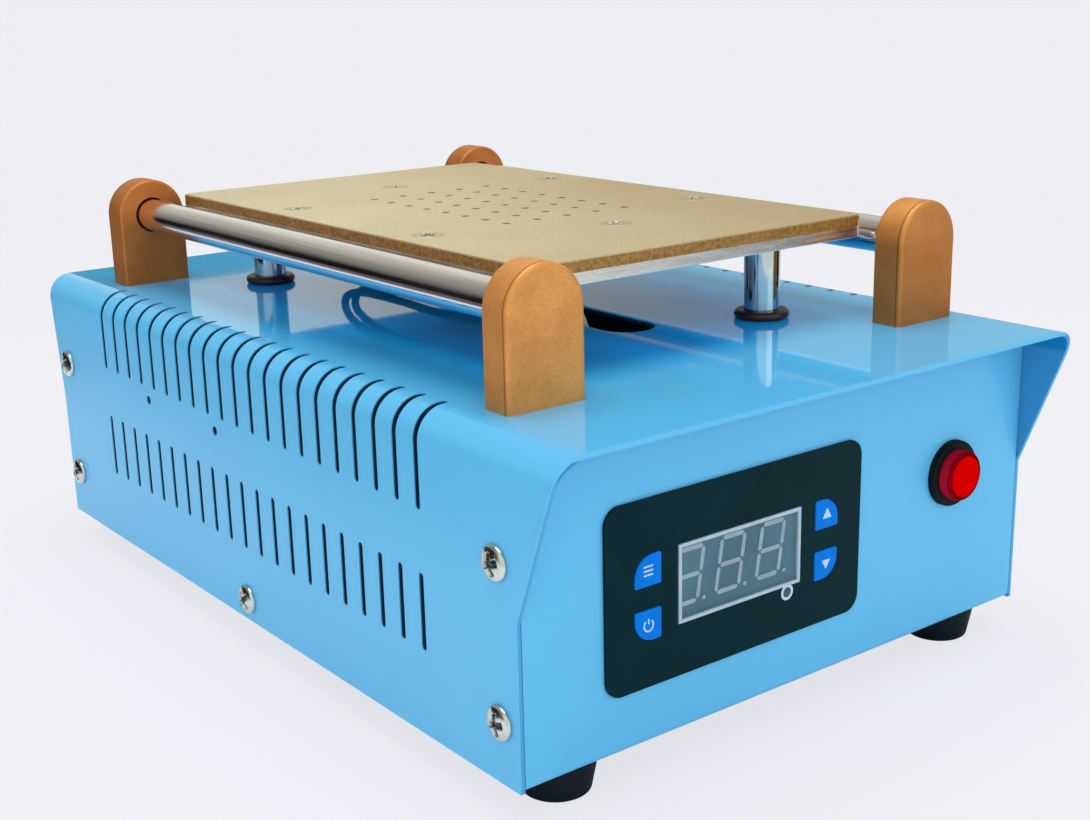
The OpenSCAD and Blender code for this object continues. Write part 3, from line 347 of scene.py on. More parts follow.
def make_piece(name, skins, body, slot, replaces=(), crease=38, recess=None, look=None):
    """Joins skins into one object at the origin, shaded smooth but for edges sharper than crease
    degrees. It rides on a body, has its slot's finish or another look, and stands for the nodes that
    it replaces. Its points may carry a recess share each, which the finish reads as painted shade."""
    starts = np.cumsum([0] + [len(skin[0]) for skin in skins])
    faces = [face for start, (_, quads, fans) in zip(starts, skins)
             for face in (quads + start).tolist() + (fans + start).tolist()]
    mesh = add_mesh(name, np.vstack([skin[0] for skin in skins]), faces, finish(look or slot))
    mesh.polygons.foreach_set("use_smooth", np.ones(len(mesh.polygons), bool))
    mesh.set_sharp_from_angle(angle=math.radians(crease))
    if recess is not None:
        mesh.attributes.new("recess", "FLOAT", "POINT").data.foreach_set("value", recess)
    mesh.update()
    piece = add_object(name, mesh)
    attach(piece, body)
    if replaces:
        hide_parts(*replaces)
    return piece


def middle(node):
    """Middle of a node's box, as an array."""
    low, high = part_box(node)
    return np.array((low + high) / 2)


# Screws

def cross_share(x, y, half_width, reach):
    """Depth of a cross recess at a point, from 0 to 1: two arms at right angles with soft walls."""
    def arm(along, across):
        wall = smooth((half_width * 1.25 - np.abs(across)) / (half_width * 0.5))
        return wall * smooth((reach - np.abs(along)) / (reach * 0.25))
    return np.maximum(arm(x, y), arm(y, x))


def screw_skin(top, rim, length_below, half_width, reach, depth):
    """A screw along local z, and how far each point lies in its cross recess, from 0 to 1. Top is the
    profile of its upper face from the middle outwards. The rim and a shank run on down from it."""
    shank = sizes().shank_radius
    rings = turned_rings(np.vstack([top, rim, [[shank, -length_below], [shank * 0.7, -length_below]]]))
    share = cross_share(rings[:, :, 0], rings[:, :, 1], half_width, reach)
    share[len(top):] = 0
    rings[:, :, 2] -= depth * share
    poles = np.array([[0, 0, top[0][1] - depth], rings[-1].mean(axis=0)])
    return shell(rings, poles), np.append(share, [1, 0])


def pan_screw(length_below):
    """A pan head: a dome that falls by a third of its height, and a rounded rim. Its seat is at 0."""
    s = sizes()
    radius, height, corner = s.pan_radius, s.pan_height, s.pan_height * 0.55
    flat = np.linspace(0.02, 1, 26) * (radius - corner * 0.8)
    dome = height - 0.34 * height * (flat / flat[-1]) ** 2
    rim = np.vstack([arc((radius - corner, dome[-1] - corner), corner, 64, 0, 8),
                     [[radius, 0.1 * height], [radius - 0.1 * MM, 0], [s.shank_radius, 0]]])
    return screw_skin(np.column_stack([flat, dome]), rim, length_below, 0.17 * radius, radius * 0.66,
                      height * 0.5)


def flat_screw(length_below):
    """A countersunk head whose flat top lies at height 0."""
    s = sizes()
    radius, soft, depth = s.flat_radius, 0.15 * MM, 1.2 * MM
    flat = np.linspace(0.02, 1, 26) * (radius - 2 * soft)
    rim = np.vstack([arc((radius - soft, -soft), soft, 90, 0, 4), [[s.shank_radius, s.shank_radius - radius]]])
    return screw_skin(np.column_stack([flat, np.zeros(len(flat))]), rim, length_below, 0.14 * radius,
                      radius * 0.56, depth)


# Finishes

class Shader:
    """The nodes of one material or world. An input is a value or another node's output."""

    def __init__(self, tree):
        self.tree = tree

    def set(self, socket, value):
        if isinstance(value, bpy.types.NodeSocket):
            self.tree.links.new(value, socket)
        elif hasattr(socket.default_value, "__len__") and len(socket.default_value) == 4:
            socket.default_value = (*tuple(value)[:3], 1)
        else:
            socket.default_value = value

    def add(self, kind, inputs=None, output=0, **settings):
        node = self.tree.nodes.new("ShaderNode" + kind)
        for key, value in settings.items():
            setattr(node, key, value)
        for key, value in (inputs or {}).items():
            self.set(node.inputs[key], value)
        return node.outputs[output]

    def grain(self, scale, stretch=(1, 1, 1), detail=4.0, reach=0.22):
        """Noise on Object coordinates, from 0 to 1. The scale is in features per metre. The raw noise
        counts up to the reach either side of 0.5."""
        place = self.add("Mapping", {"Vector": self.add("TexCoord", output="Object"), "Scale": stretch})
        noise = self.add("TexNoise", {"Vector": place, "Scale": scale, "Detail": detail, "Roughness": 0.55})
        return self.add("MapRange", {"Value": noise, "From Min": 0.5 - reach, "From Max": 0.5 + reach},
                        interpolation_type="SMOOTHSTEP")

    def ranged(self, value, low, high, to_low=0.0, to_high=1.0):
        return self.add("MapRange", {"Value": value, "From Min": low, "From Max": high,
                                     "To Min": to_low, "To Max": to_high})

    def blend(self, share, first, second):
        """A mix of two colours."""
        node = self.tree.nodes.new("ShaderNodeMix")
        node.data_type = "RGBA"
        for index, value in ((0, share), (6, first), (7, second)):
            self.set(node.inputs[index], value)
        return node.outputs[2]

    def calc(self, operation, *values):
        """Arithmetic on one number or two, such as ABSOLUTE or MAXIMUM."""
        return self.add("Math", dict(enumerate(values)), operation=operation)

    def times(self, first, second):
        return self.calc("MULTIPLY", first, second)

    def less(self, first, second):
        return self.calc("SUBTRACT", first, second)

    def under(self, value, limit, blur=0.02 * MM):
        """1 where a value lies under a limit and 0 where it lies over it."""
        return self.ranged(value, limit - blur, limit + blur, 1.0, 0.0)

    def off(self, value, centre):
        """How far a value lies from a centre, on either side."""
        return self.calc("ABSOLUTE", self.less(value, centre))

    def parts(self, vector):
        outputs = self.add("SeparateXYZ", {0: vector}).node.outputs
        return [outputs[axis] for axis in "XYZ"]

    def place(self):
        """Object coordinates as three numbers."""
        return self.parts(self.add("TexCoord", output="Object"))

    def root(self, first, second):
        """The root of the sum of two squares."""
        squares = (self.calc("POWER", value, 2.0) for value in (first, second))
        return self.calc("SQRT", self.calc("ADD", *squares))

    def past_corner(self, first, second):
        """How far a point lies out from the middle of a rounded corner, each distance held at 0 or
        more."""
        return self.root(*(self.calc("MAXIMUM", value, 0.0) for value in (first, second)))

    def recess(self):
        """The mesh's recess share, which the finishes read as painted shade."""
        return self.add("Attribute", output="Fac", attribute_name="recess")

    def bump(self, height, distance):
        return self.add("Bump", {"Height": height, "Distance": distance, "Strength": 1.0})


class Surface(Shader):
    """A material. The sockets of its Principled node are set by name, with _ for a space."""

    def __init__(self, name, **sockets):
        self.material = bpy.data.materials.new(name)
        self.material.use_nodes = True
        super().__init__(self.material.node_tree)
        self.bsdf = self.tree.nodes["Principled BSDF"]
        self.coat(**sockets)

    def coat(self, **sockets):
        for name, value in sockets.items():
            self.set(self.bsdf.inputs[name.replace("_", " ")], value)
        return self.material


def textured(name, light, dark, scale=300, rough=(0.4, 0.5), bump=0.0, stretch=(1, 1, 1), **sockets):
    """A finish whose colour runs from dark to light and whose roughness varies with the same grain."""
    shader = Surface(name, **sockets)
    grain = shader.grain(scale, stretch)
    if bump:
        shader.coat(Normal=shader.bump(grain, bump * MM))
    return shader.coat(Base_Color=shader.blend(grain, dark, light),
                       Roughness=shader.ranged(grain, 0, 1, *rough))


def shaded(value, share):
    """A colour made darker by a share."""
    return tuple(channel * share for channel in tuple(value)[:3])


def sheet_shares(shader):
    """Where a point of the folded sheets lies, as four shares from 0 to 1: under the outside of the
    cover, under the outside of the tray, past the front panel, and on the cover's upright front edges."""
    s = sizes()
    low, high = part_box("top_cover")
    tray_low, tray_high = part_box("chassis_tray")
    x, y, z = shader.place()
    aside = shader.calc("ABSOLUTE", x)
    along = shader.off(y, (tray_low.y + tray_high.y) / 2)
    half_length = (tray_high.y - tray_low.y) / 2
    cover = shader.past_corner(shader.less(aside, high.x - s.bend), shader.less(z, high.z - s.bend))
    tray = shader.past_corner(shader.less(along, half_length - s.tray_bend),
                              shader.less(tray_low.z + s.tray_bend, z))
    edge = shader.times(shader.ranged(aside, tray_high.x, tray_high.x + 0.2 * MM),
                        shader.under(y, tray_low.y + 0.06 * MM))
    ahead = shader.times(shader.under(y, tray_low.y - 0.8 * MM), shader.ranged(y, low.y, low.y + 0.1 * MM))
    return shader.under(cover, s.bend - s.skin), shader.under(tray, s.tray_bend - s.skin), ahead, edge


def blue_paint(name):
    """Powder paint, glossy on the deck and softer elsewhere, with faint orange peel and slow patches.
    Painted light and shade: the paint is brighter and bluer under the plate, darker on the visors' inner
    faces and on the cover's upright front edges, and dark navy inside the closed case, walls of the slots
    included."""
    shader, c = Surface(name, Specular_IOR_Level=0.35), colours()
    under_cover, under_tray, ahead, edge = sheet_shares(shader)
    x, y, z = shader.place()
    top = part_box("top_cover")[1].z
    deck = shader.ranged(z, top - 0.6 * MM, top - 0.3 * MM)
    # Painted light under the plate: the brighter, bluer paint ends between these distances from the
    # middle, in millimetres
    lift_x, lift_y = (shader.ranged(shader.calc("ABSOLUTE", value), start * MM, end * MM, 1, 0)
                        for value, start, end in ((x, 54, 80), (y, 80, 100)))
    plate_shadow_lift = shader.times(shader.times(lift_x, lift_y), deck)
    patches, peel = shader.grain(14, detail=2, reach=0.5), shader.grain(300, detail=1)
    coat = shader.blend(patches, shaded(c.paint, 0.94), shaded(c.paint, 1.02))
    # Painted light on the deck under the plate
    coat = shader.blend(shader.times(plate_shadow_lift, 0.9), coat, c.paint_lit_under_plate)
    # Painted shade on the visors' inner faces
    coat = shader.blend(shader.times(ahead, under_cover), coat, c.paint_visor_shade)
    # Painted shade on the cover's upright front edges
    coat = shader.blend(shader.times(edge, under_cover), coat, c.paint_edge_shade)
    # Painted shade inside the closed case and in the slots
    inside = shader.times(under_cover, under_tray)
    gloss = shader.calc("ADD", shader.ranged(patches, 0, 1, 0.03, 0.05), shader.ranged(deck, 0, 1, 0.24, 0))
    return shader.coat(Base_Color=shader.blend(inside, coat, c.case_painted_shade),
                       Roughness=shader.calc("MAXIMUM", gloss, shader.times(inside, 0.7)),
                       Normal=shader.bump(peel, 0.0015 * MM))


def bronze_paint(name):
    """Metallic paint: bright flakes in a darker ground, slightly rough like a fine casting. Painted shade: the
    rear castings are darker than the front ones, and the right ones darker below their tops, as the light
    falls on them, and a dark line runs round them near their outer faces."""
    shader, c, s = Surface(name, Metallic=0.55), colours(), sizes()
    flakes, clouds = shader.grain(2600, detail=2), shader.grain(90, detail=3)
    x, y, z = shader.place()
    (_, front, _), (_, _, top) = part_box("bracket_front_left")
    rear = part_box("bracket_rear_left")[1].y
    # Painted shade: a dark line round the brackets near their outer faces
    shade_line = shader.off(shader.off(y, (front + rear) / 2), (rear - front) / 2 - s.shade_line_inset)
    shade_line = shader.under(shade_line, 0.22 * MM, 0.12 * MM)
    ground = shader.blend(shader.ranged(clouds, 0, 1, 0.6, 1), c.bronze_deep, c.bronze)
    ground = shader.blend(shader.ranged(flakes, 0, 1, 0.3, 0), ground, c.bronze_deep)
    # Painted shade: the rear brackets, and the right ones below their tops, are darkened as the light falls on
    # them
    right = shader.times(shader.ranged(x, 0, 0.1 * MM, 0, 0.45),
                         shader.ranged(z, top - s.bracket_shade_fade, top, 1, 0.1))
    dark = shader.calc("MAXIMUM", shader.ranged(y, 0, 0.1 * MM, 0, 0.6), right)
    ground = shader.blend(dark, ground, c.bronze_painted_shade)
    return shader.coat(Base_Color=shader.blend(shader.times(shade_line, 0.6), ground, shaded(c.bronze_deep, 0.35)),
                       Roughness=shader.ranged(flakes, 0, 1, 0.56, 0.46),
                       Normal=shader.bump(flakes, 0.008 * MM))


def gold_plate(name):
    """Blasted and dyed aluminium: a fine bright grain on top, with painted light and shade that leave it
    lighter on the left and darker towards the front and the right, slow patches of tone, and a coarser
    golden grain on the sawn edges and in the holes."""
    shader, c = Surface(name, Metallic=0.55), colours()
    low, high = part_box("hot_plate")
    x, y, z = shader.place()
    fine, coarse = shader.grain(1800, detail=2), shader.grain(900, detail=3)
    # Painted light and shade: lighter on the left, darker towards the front and the right, with slow patches of
    # tone
    shade_and_patches = shader.ranged(shader.less(x, shader.times(y, 0.35)), low.x * 1.2, high.x * 1.2)
    shade_and_patches = shader.calc("ADD", shader.times(shade_and_patches, 0.7), shader.times(shader.grain(22, detail=2), 0.2))
    top = shader.blend(shade_and_patches, c.plate, c.plate_shade_and_grain)
    top = shader.blend(shader.ranged(fine, 0, 1, 0.22, 0), top, shaded(c.plate_shade_and_grain, 0.45))
    edge = shader.blend(coarse, shaded(c.plate_edge, 0.5), c.plate_edge)
    return shader.coat(Base_Color=shader.blend(shader.under(z, high.z - 0.3 * MM), top, edge),
                       Roughness=shader.ranged(fine, 0, 1, 0.5, 0.4), Normal=shader.bump(fine, 0.006 * MM))


def aluminium(name):
    """Rolled aluminium, drawn along the plane. The underside is matt and painted pale blue, a painted reflection
    of the blue deck below it.
    """
    shader, c = Surface(name, Specular_IOR_Level=0.1), colours()
    grain = shader.grain(1500, (0.05, 0.05, 1))
    below = shader.under(shader.place()[2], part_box("vacuum_plate")[0].z + 0.1 * MM, 0.05 * MM)
    metal = shader.blend(grain, c.rolled_deep, c.rolled)
    return shader.coat(Base_Color=shader.blend(below, metal, c.rolled_painted_reflection), Metallic=shader.less(1.0, below),
                       Roughness=shader.calc("MAXIMUM", below, shader.ranged(grain, 0, 1, 0.22, 0.32)))


def heater_silicone(name):
    """Orange-red silicone on glass cloth: two crossed waves make the weave."""
    shader, c = Surface(name, Roughness=0.6), colours()
    place = shader.add("TexCoord", output="Object")
    cloth = shader.times(*(shader.add("TexWave", {"Vector": place, "Scale": 260, "Distortion": 0.4},
                                      output="Fac", bands_direction=way) for way in "XY"))
    return shader.coat(Base_Color=shader.blend(cloth, c.heater_deep, c.heater),
                       Normal=shader.bump(cloth, 0.04 * MM))


def start_red(name):
    """Glossy red plastic, with painted shade in the groove round the face and on the front rim, and a side
    painted darker and pinker for its shade and sheen.
    """
    shader, c = Surface(name, Specular_IOR_Level=0), colours()
    grain = shader.grain(60)
    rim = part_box("start_cap")[0].y + sizes().cap_round
    side = shader.ranged(shader.place()[1], rim - 0.3 * MM, rim + 0.2 * MM)
    red = shader.blend(side, shader.blend(grain, shaded(c.red, 0.92), c.red), c.red_side_shade_and_sheen)
    return shader.coat(Base_Color=shader.blend(shader.recess(), red, c.red_painted_shade),
                       Roughness=shader.ranged(grain, 0, 1, 0.24, 0.32))


def plain(light, dark=0.8, **settings):
    """A maker for a textured finish. Its light colour is a colour property or a screen colour, and its
    dark colour another screen colour or a share of the light one."""
    def make(name):
        bright = getattr(colours(), light) if isinstance(light, str) else display_colour(*light)
        deep = display_colour(*dark) if isinstance(dark, tuple) else shaded(bright, dark)
        return textured(name, bright, deep, **settings)
    return make


def steel_with_recess_shade(light, dark, rough):
    """A maker for bright steel with painted shade: dark where the mesh's recess attribute is 1."""
    def make(name):
        shader, bright = Surface(name, Metallic=1), display_colour(*light)
        grain = shader.grain(500)
        steel = shader.blend(grain, shaded(bright, 0.82), bright)
        return shader.coat(Base_Color=shader.blend(shader.recess(), steel, display_colour(*dark)),
                           Roughness=shader.ranged(grain, 0, 1, *rough))
    return make


# Colours as a screen shows them, grain in features per metre, range of roughness, and bump in millimetres
FINISHES = {
    "blue_paint": blue_paint,
    "bronze_paint": bronze_paint,
    "gold_plate": gold_plate,
    "aluminium": aluminium,
    "heater_silicone": heater_silicone,
    "start_red": start_red,
    "black_rubber": plain("rubber", 0.6, scale=900, rough=(0.5, 0.62), bump=0.02,
                          Specular_IOR_Level=0.15),
    "dark_collar": plain((52, 22, 28), scale=700, rough=(0.35, 0.45), bump=0.01),
    # The screws' second colour is painted shade in their cross recesses
    "screw_steel": steel_with_recess_shade((212, 217, 213), (58, 74, 80), rough=(0.14, 0.22)),
    "plate_screw_steel": steel_with_recess_shade((206, 200, 180), (120, 92, 52), rough=(0.32, 0.45)),
    "bush_bronze": plain((201, 162, 84), scale=600, rough=(0.3, 0.4), Metallic=1),
    "brushed_roller": plain((243, 232, 240), (222, 211, 218), scale=1500, stretch=(1, 0.012, 1),
                            rough=(0.1, 0.18), bump=0.0004, Metallic=1),
    "chrome": plain((206, 214, 220), (186, 196, 204), scale=260, rough=(0.06, 0.12), Metallic=1),
    "hose_silicone": plain((222, 226, 226), (204, 210, 212), scale=120, rough=(0.35, 0.45),
                           Subsurface_Weight=0.3, Subsurface_Radius=(2 * MM, 2 * MM, 2 * MM)),
    "lead_black": plain((30, 44, 52), scale=500),
    "lead_white": plain((226, 222, 212), scale=500, rough=(0.45, 0.55)),
    "overlay_black": plain("overlay", scale=40, rough=(0.28, 0.34), Specular_IOR_Level=0.04),
    "display_white": plain((172, 192, 204), (156, 178, 192)),
    "display_slate": plain("slate", scale=60, rough=(0.3, 0.4), Specular_IOR_Level=0.08),
    "digit_grey": plain("digit", 0.85, scale=200, rough=(0.35, 0.45), Specular_IOR_Level=0.2),
    "board_green": plain((44, 122, 70), scale=500, rough=(0.35, 0.5)),
    "switch_black": plain((18, 25, 28), scale=800, rough=(0.42, 0.5), bump=0.008,
                          Specular_IOR_Level=0.06),
    "relay_blue": plain((36, 86, 165), rough=(0.3, 0.4)),
    "terminal_green": plain((47, 138, 78), rough=(0.35, 0.45)),
    "lamp_clear": plain((34, 66, 78), rough=(0.12, 0.2), Transmission_Weight=0.1),
    "key_blue": plain("key", 0.85, rough=(0.35, 0.42), Specular_IOR_Level=0.04),
    "motor_steel": plain((184, 188, 192), scale=500, rough=(0.25, 0.4), Metallic=1),
    "pump_white": plain((230, 231, 227)),
    "coil_yellow": plain((217, 180, 58), scale=400, rough=(0.4, 0.55)),
    "screw_black": plain((40, 40, 42), scale=500, rough=(0.3, 0.4), Metallic=0.6),
    "white_print": plain("sign", 0.9, scale=900),
}


def finish(slot):
    """The material of a slot, made the first time that it is asked for. The frame brings plain ones
    under the slots' own names."""
    name = f"{slot}_finish"
    return bpy.data.materials.get(name) or FINISHES[slot](name)


# Signs and lines

def stroke_skin(path, width, rise, closed=False):
    """A flat line along a plane path: at each point an oval, as wide as the line and rise high, stands
    across the path."""
    path = np.asarray(path, float)
    ahead = units(np.roll(path, -1, axis=0) - np.roll(path, 1, axis=0) if closed
                  else np.gradient(path, axis=0))
    across = np.column_stack([-ahead[:, 1], ahead[:, 0]])
    oval = circle(1, 16)
    oval = np.sign(oval) * np.abs(oval) ** 0.4 * (width / 2, rise)
    rings = raised(path[:, None] + across[:, None] * oval[None, :, :1], oval[None, :, 1:])
    return shell(rings) if closed else capped(rings)


def power_sign(size, width, rise):
    """A ring open at the top with a bar in its gap."""
    ring = arc((0, 0), size, 128, 412, 32)
    bar = np.column_stack([np.zeros(6), np.linspace(0.25, 1.2, 6) * size])
    return [stroke_skin(ring, width, rise), stroke_skin(bar, width, rise)]


def list_sign(size, width, rise):
    """Three short bars one above another."""
    bar = np.column_stack([np.linspace(-1, 1, 8) * size, np.zeros(8)])
    return [stroke_skin(bar + (0, level * size * 0.75), width, rise) for level in (-1, 0, 1)]


def arrow_sign(size, way, rise):
    """A solid triangle that points up or down."""
    corners = np.array([[-1, -0.75], [1, -0.75], [0, 0.95]]) * size
    if way < 0:
        corners = corners[::-1] * (1, -1)
    return [slab(lambda inset: outline(corners, 0.12 * MM, inset, 3),
                 edge_levels(-rise, rise, rise / 2, rise / 2, 2))]


def make_print(name, skins, at, facing, body, slot, tilt=0.0):
    """White print laid on a face, which may be tilted about the frame's x."""
    make_piece(name, [placed(skin, at, facing, 0, tilt) for skin in skins], body, slot, crease=60,
               look="white_print")


# Hose and leads

# The node that each stands for, its slot, the property of its radius, and its route in millimetres
CORDS = {
    "suction_hose": ("vacuum_hose", "hose_silicone", "hose_radius", [
        (0, -10, 104), (0, -15, 104), (0, -21, 102.5), (0, -27, 98.5), (0.3, -32, 92.5), (1, -36, 85),
        (3, -38, 76), (8, -36, 67), (15, -28, 61), (23, -16, 59), (29, -4, 60), (31.2, 4, 57.5),
        (31.25, 7.2, 51), (31.25, 7.25, 46), (31.25, 7.25, 41.5)]),
    "heater_lead_left": ("heater_leads", "lead_black", "lead_radius", [
        (-9, 40, 109.65), (-10, 50, 109.6), (-12, 60, 107.5), (-14, 67, 103), (-15, 66, 97),
        (-14, 57, 94.4), (-11, 40, 95), (-7, 22, 97), (-3, 2, 97), (-1, -12, 95), (0, -18, 89),
        (-1, -22, 80), (-4, -40, 66), (-6, -66, 57), (-9, -86, 50.5), (-9.4, -94, 48.5),
        (-9.4, -100.7, 48.5)]),
    "heater_lead_right": ("heater_leads", "lead_black", "lead_radius", [
        (-4, 40, 109.65), (-5, 52, 109.5), (-7, 63, 107), (-9, 70, 102.5), (-10, 67, 96.5),
        (-9, 58, 93.8), (-6, 40, 93.6), (-2, 22, 94), (2, 2, 94.6), (3.4, -12, 93), (4, -19, 87),
        (3, -24, 78), (-1, -42, 63), (-1.5, -68, 54), (-4, -86, 49.5), (-4.4, -94, 48.5),
        (-4.4, -100.7, 48.5)]),
    "sensor_wire": ("sensor_lead", "lead_white", "sensor_radius", [
        (16, 6, 110.1), (14, -2, 109.6), (12, -9, 107), (9.5, -14.5, 101), (8, -17, 93),
        (7.5, -18, 85), (7, -22, 74), (3, -40, 58), (2, -66, 50), (1, -86, 48.5), (0.6, -94, 48.5),
        (0.6, -100.7, 48.5)]),
}


def smooth_route(points, steps=8):
    """Catmull-Rom curve: between two points a cubic whose slopes follow their neighbours."""
    p = np.vstack([points[:1], points, points[-1:]])
    a, b, c, d = p[:-3, None], p[1:-2, None], p[2:-1, None], p[3:, None]
    t = (np.arange(steps) / steps)[None, :, None]
    curve = ((-t + 2 * t**2 - t**3) * a + (2 - 5 * t**2 + 3 * t**3) * b
             + (t + 4 * t**2 - 3 * t**3) * c + (t**3 - t**2) * d) / 2
    return np.vstack([curve.reshape(-1, 3), p[-1:]])


def tube_rings(path, radius, sides=24):
    """Rings of a round tube: at each point a circle square to the path, its start turned by the least
    that keeps it square, so that the tube doesn't twist."""
    ahead = units(np.gradient(path, axis=0))
    across = [np.array([1.0, 0, 0])]
    for way in ahead:
        flat = across[-1] - (across[-1] @ way) * way
        across.append(flat / np.linalg.norm(flat))
    across = np.array(across[1:])
    ring = circle(1, sides)[None]
    return path[:, None] + radius * (ring[..., :1] * across[:, None]
                                     + ring[..., 1:] * np.cross(ahead, across)[:, None])


def make_cord(name, route, radius, slot, node):
    """A round, limp cord along its route. It stands for a
    node."""
    path = smooth_route(route)
    piece = make_piece(name, [capped(tube_rings(path, radius))], "base", slot, [node])


# Operators

class SEPARATOR_OT_stage(bpy.types.Operator):
    """Make the camera, the lamps, the floor and the surroundings"""

    bl_idname = "separator.stage"
    bl_label = "Stage"

    # Places of the lamps, by the property of their power, and the point that they look at
    lamps = {"key": (-0.75, -0.75, 0.95), "fill": (0.3, -1.2, 0.35), "top": (-0.05, -0.05, 1.25)}
    lamp_aim, lamp_width = (0, 0, 0.05), 0.9
    # For each card two ends of one long side, the way to the other side, and the grey
    cards = {
        "left": ((-0.3, 0, 0), (-0.3, 0.9, 0), (0, 0, 0.13), 0.004),
        "low": ((-0.3, 0, 0.001), (-0.3, 0.9, 0.001), (0.12, 0, 0), 0.12),
        "back": ((-0.3, 0.9, 0), (0.42, 0.9, 0), (0, 0, 0.25), 0.004),
        "right": ((0.45, -0.8, 0), (0.45, -0.1, 0), (0, 0, 0.3), 0.004)}

    def execute(self, context):
        stage = context.scene.separator_stage
        context.scene.view_settings.view_transform = "Standard"
        self.camera(context, stage)
        for name, place in self.lamps.items():
            self.lamp(f"{name}_lamp", place, getattr(stage, f"{name}_power"))
        self.floor()
        for name, card in self.cards.items():
            self.card(f"{name}_card", *card)
        self.surroundings(context, stage)
        return {"FINISHED"}

    def camera(self, context, stage):
        eye, aim = Vector(stage.eye), Vector(stage.aim)
        ahead = (aim - eye).normalized()
        right = ahead.cross(Vector((0, 0, 1))).normalized()
        up = right.cross(ahead)
        c, s = math.cos(stage.roll), math.sin(stage.roll)
        right, up = c * right + s * up, c * up - s * right
        camera = add_object("camera", bpy.data.cameras.new("camera"))
        camera.data.lens = stage.lens
        camera.data.sensor_width = 36
        camera.data.clip_start = 0.02
        turn = Matrix((right, up, -ahead)).transposed().to_4x4()
        camera.matrix_world = Matrix.Translation(eye) @ turn
        context.scene.camera = camera

    def lamp(self, name, place, power):
        """A round lamp that looks at the middle of the machine."""
        lamp = add_object(name, bpy.data.lights.new(name, "AREA"))
        lamp.data.shape = "DISK"
        lamp.data.size = self.lamp_width
        lamp.data.energy = power
        lamp.location = place
        ahead = Vector(self.lamp_aim) - Vector(place)
        lamp.rotation_euler = ahead.to_track_quat("-Z", "Y").to_euler()

    def floor(self, radius=3, rings=60, sides=96):
        """A round floor that fades into the background, so that no edge of it shows. The camera sees it
        partly as the plain background colour, which keeps its shadow light."""
        points, quads, fans = capped(raised(
            np.array([circle(reach, sides) for reach in np.linspace(0.02, radius, rings)]), 0))
        pale = colours().floor
        shader = Surface("floor", Base_Color=shaded(pale, 1.08), Roughness=0.9, Specular_IOR_Level=0)
        place = shader.add("TexCoord", output="Object")
        far = shader.add("VectorMath", {0: place}, output="Value", operation="LENGTH")
        even = shader.add("Emission", {"Color": pale, "Strength": 1.0})
        camera = shader.add("LightPath", output="Is Camera Ray")
        seen = shader.add("MixShader", {0: shader.times(camera, 0.86), 1: shader.bsdf.outputs[0], 2: even})
        mixed = shader.add("MixShader", {0: shader.ranged(far, 0.35, 0.9), 1: seen,
                                         2: shader.add("BsdfTransparent")})
        shader.set(shader.tree.nodes["Material Output"].inputs["Surface"], mixed)
        faces = quads.tolist() + fans[:sides].tolist()
        floor = add_object("floor", add_mesh("floor", points[:-1], faces, shader.material))

    def card(self, name, start, end, reach, grey):
        """A dark card from one line on to another, which only reflections show, as a studio sets up to
        give metal a dark line."""
        start, end, reach = np.array(start), np.array(end), np.array(reach)
        dull = Surface(name, Base_Color=(grey, grey, grey), Roughness=1.0, Specular_IOR_Level=0).material
        corners = [start, end, end + reach, start + reach]
        card = add_object(name, add_mesh(name, corners, [(0, 1, 2, 3)], dull))
        card.visible_camera = card.visible_diffuse = card.visible_shadow = False
        card.visible_transmission = False

    def surroundings(self, context, stage):
        """The background colour for the camera, a warmer and partly darker room for reflections, and soft
        light, stronger from low down, for everything else."""
        world = bpy.data.worlds.new("surroundings")
        world.use_nodes = True
        context.scene.world = world
        shader = Shader(world.node_tree)
        pale = colours().floor
        x, y, rise = shader.parts(shader.add("TexCoord", output="Generated"))
        room = tuple(channel * tint for channel, tint in zip(tuple(pale), (1.0, 1.05, 0.82)))
        seen = shader.blend(shader.ranged(rise, 0.32, 0.75), room, shaded(room, 0.6))
        # Two darker walls at the back: a tall one on the left and a low, narrow one on the right
        turn, back = shader.calc("DIVIDE", x, shader.root(x, y)), shader.ranged(y, -0.1, 0.3)
        left = shader.times(shader.ranged(turn, -0.45, 0.25, 1, 0), shader.ranged(rise, 0.03, 0.75, 0.93, 0.38))
        right = shader.times(shader.ranged(turn, 0.5, 0.68), shader.ranged(rise, 0.3, 0.5, 0.48, 0))
        seen = shader.blend(shader.times(back, shader.calc("MAXIMUM", left, right)), seen, (0, 0, 0))
        even = shader.blend(shader.ranged(rise, 0.25, 0.75), (1, 1, 1), (0.46, 0.46, 0.46))
        path = shader.add("LightPath").node.outputs
        mirrored = shader.calc("MAXIMUM", path["Is Glossy Ray"], path["Is Transmission Ray"])
        backdrop, studio, soft = (
            shader.add("Background", {"Color": shade, "Strength": strength})
            for shade, strength in ((pale, 1.0), (seen, 1.0), (even, stage.ambient)))
        mixed = shader.add("MixShader", {0: mirrored, 1: soft, 2: studio})
        mixed = shader.add("MixShader", {0: path["Is Camera Ray"], 1: mixed, 2: backdrop})
        shader.set(world.node_tree.nodes["World Output"].inputs["Surface"], mixed)


class SEPARATOR_OT_cords(bpy.types.Operator):
    """Make the suction hose, the heater leads and the sensor lead"""

    bl_idname = "separator.cords"
    bl_label = "Hose and leads"

    def execute(self, context):
        for name, (node, slot, radius, route) in CORDS.items():
            metres = np.round(np.array(route) * MM, 6)
            make_cord(name, metres, getattr(sizes(), radius), slot, node)
        return {"FINISHED"}


class SEPARATOR_OT_finishes(bpy.types.Operator):
    """Give every piece of the construction the finish of its material slot"""

    bl_idname = "separator.finishes"
    bl_label = "Finishes"

    def execute(self, context):
        for part in frame["record"]["subparts"]:
            node = frame["nodes"][part["node"]]
            node.data.materials.clear()
            node.data.materials.append(finish(part["material_slot"]))
        return {"FINISHED"}


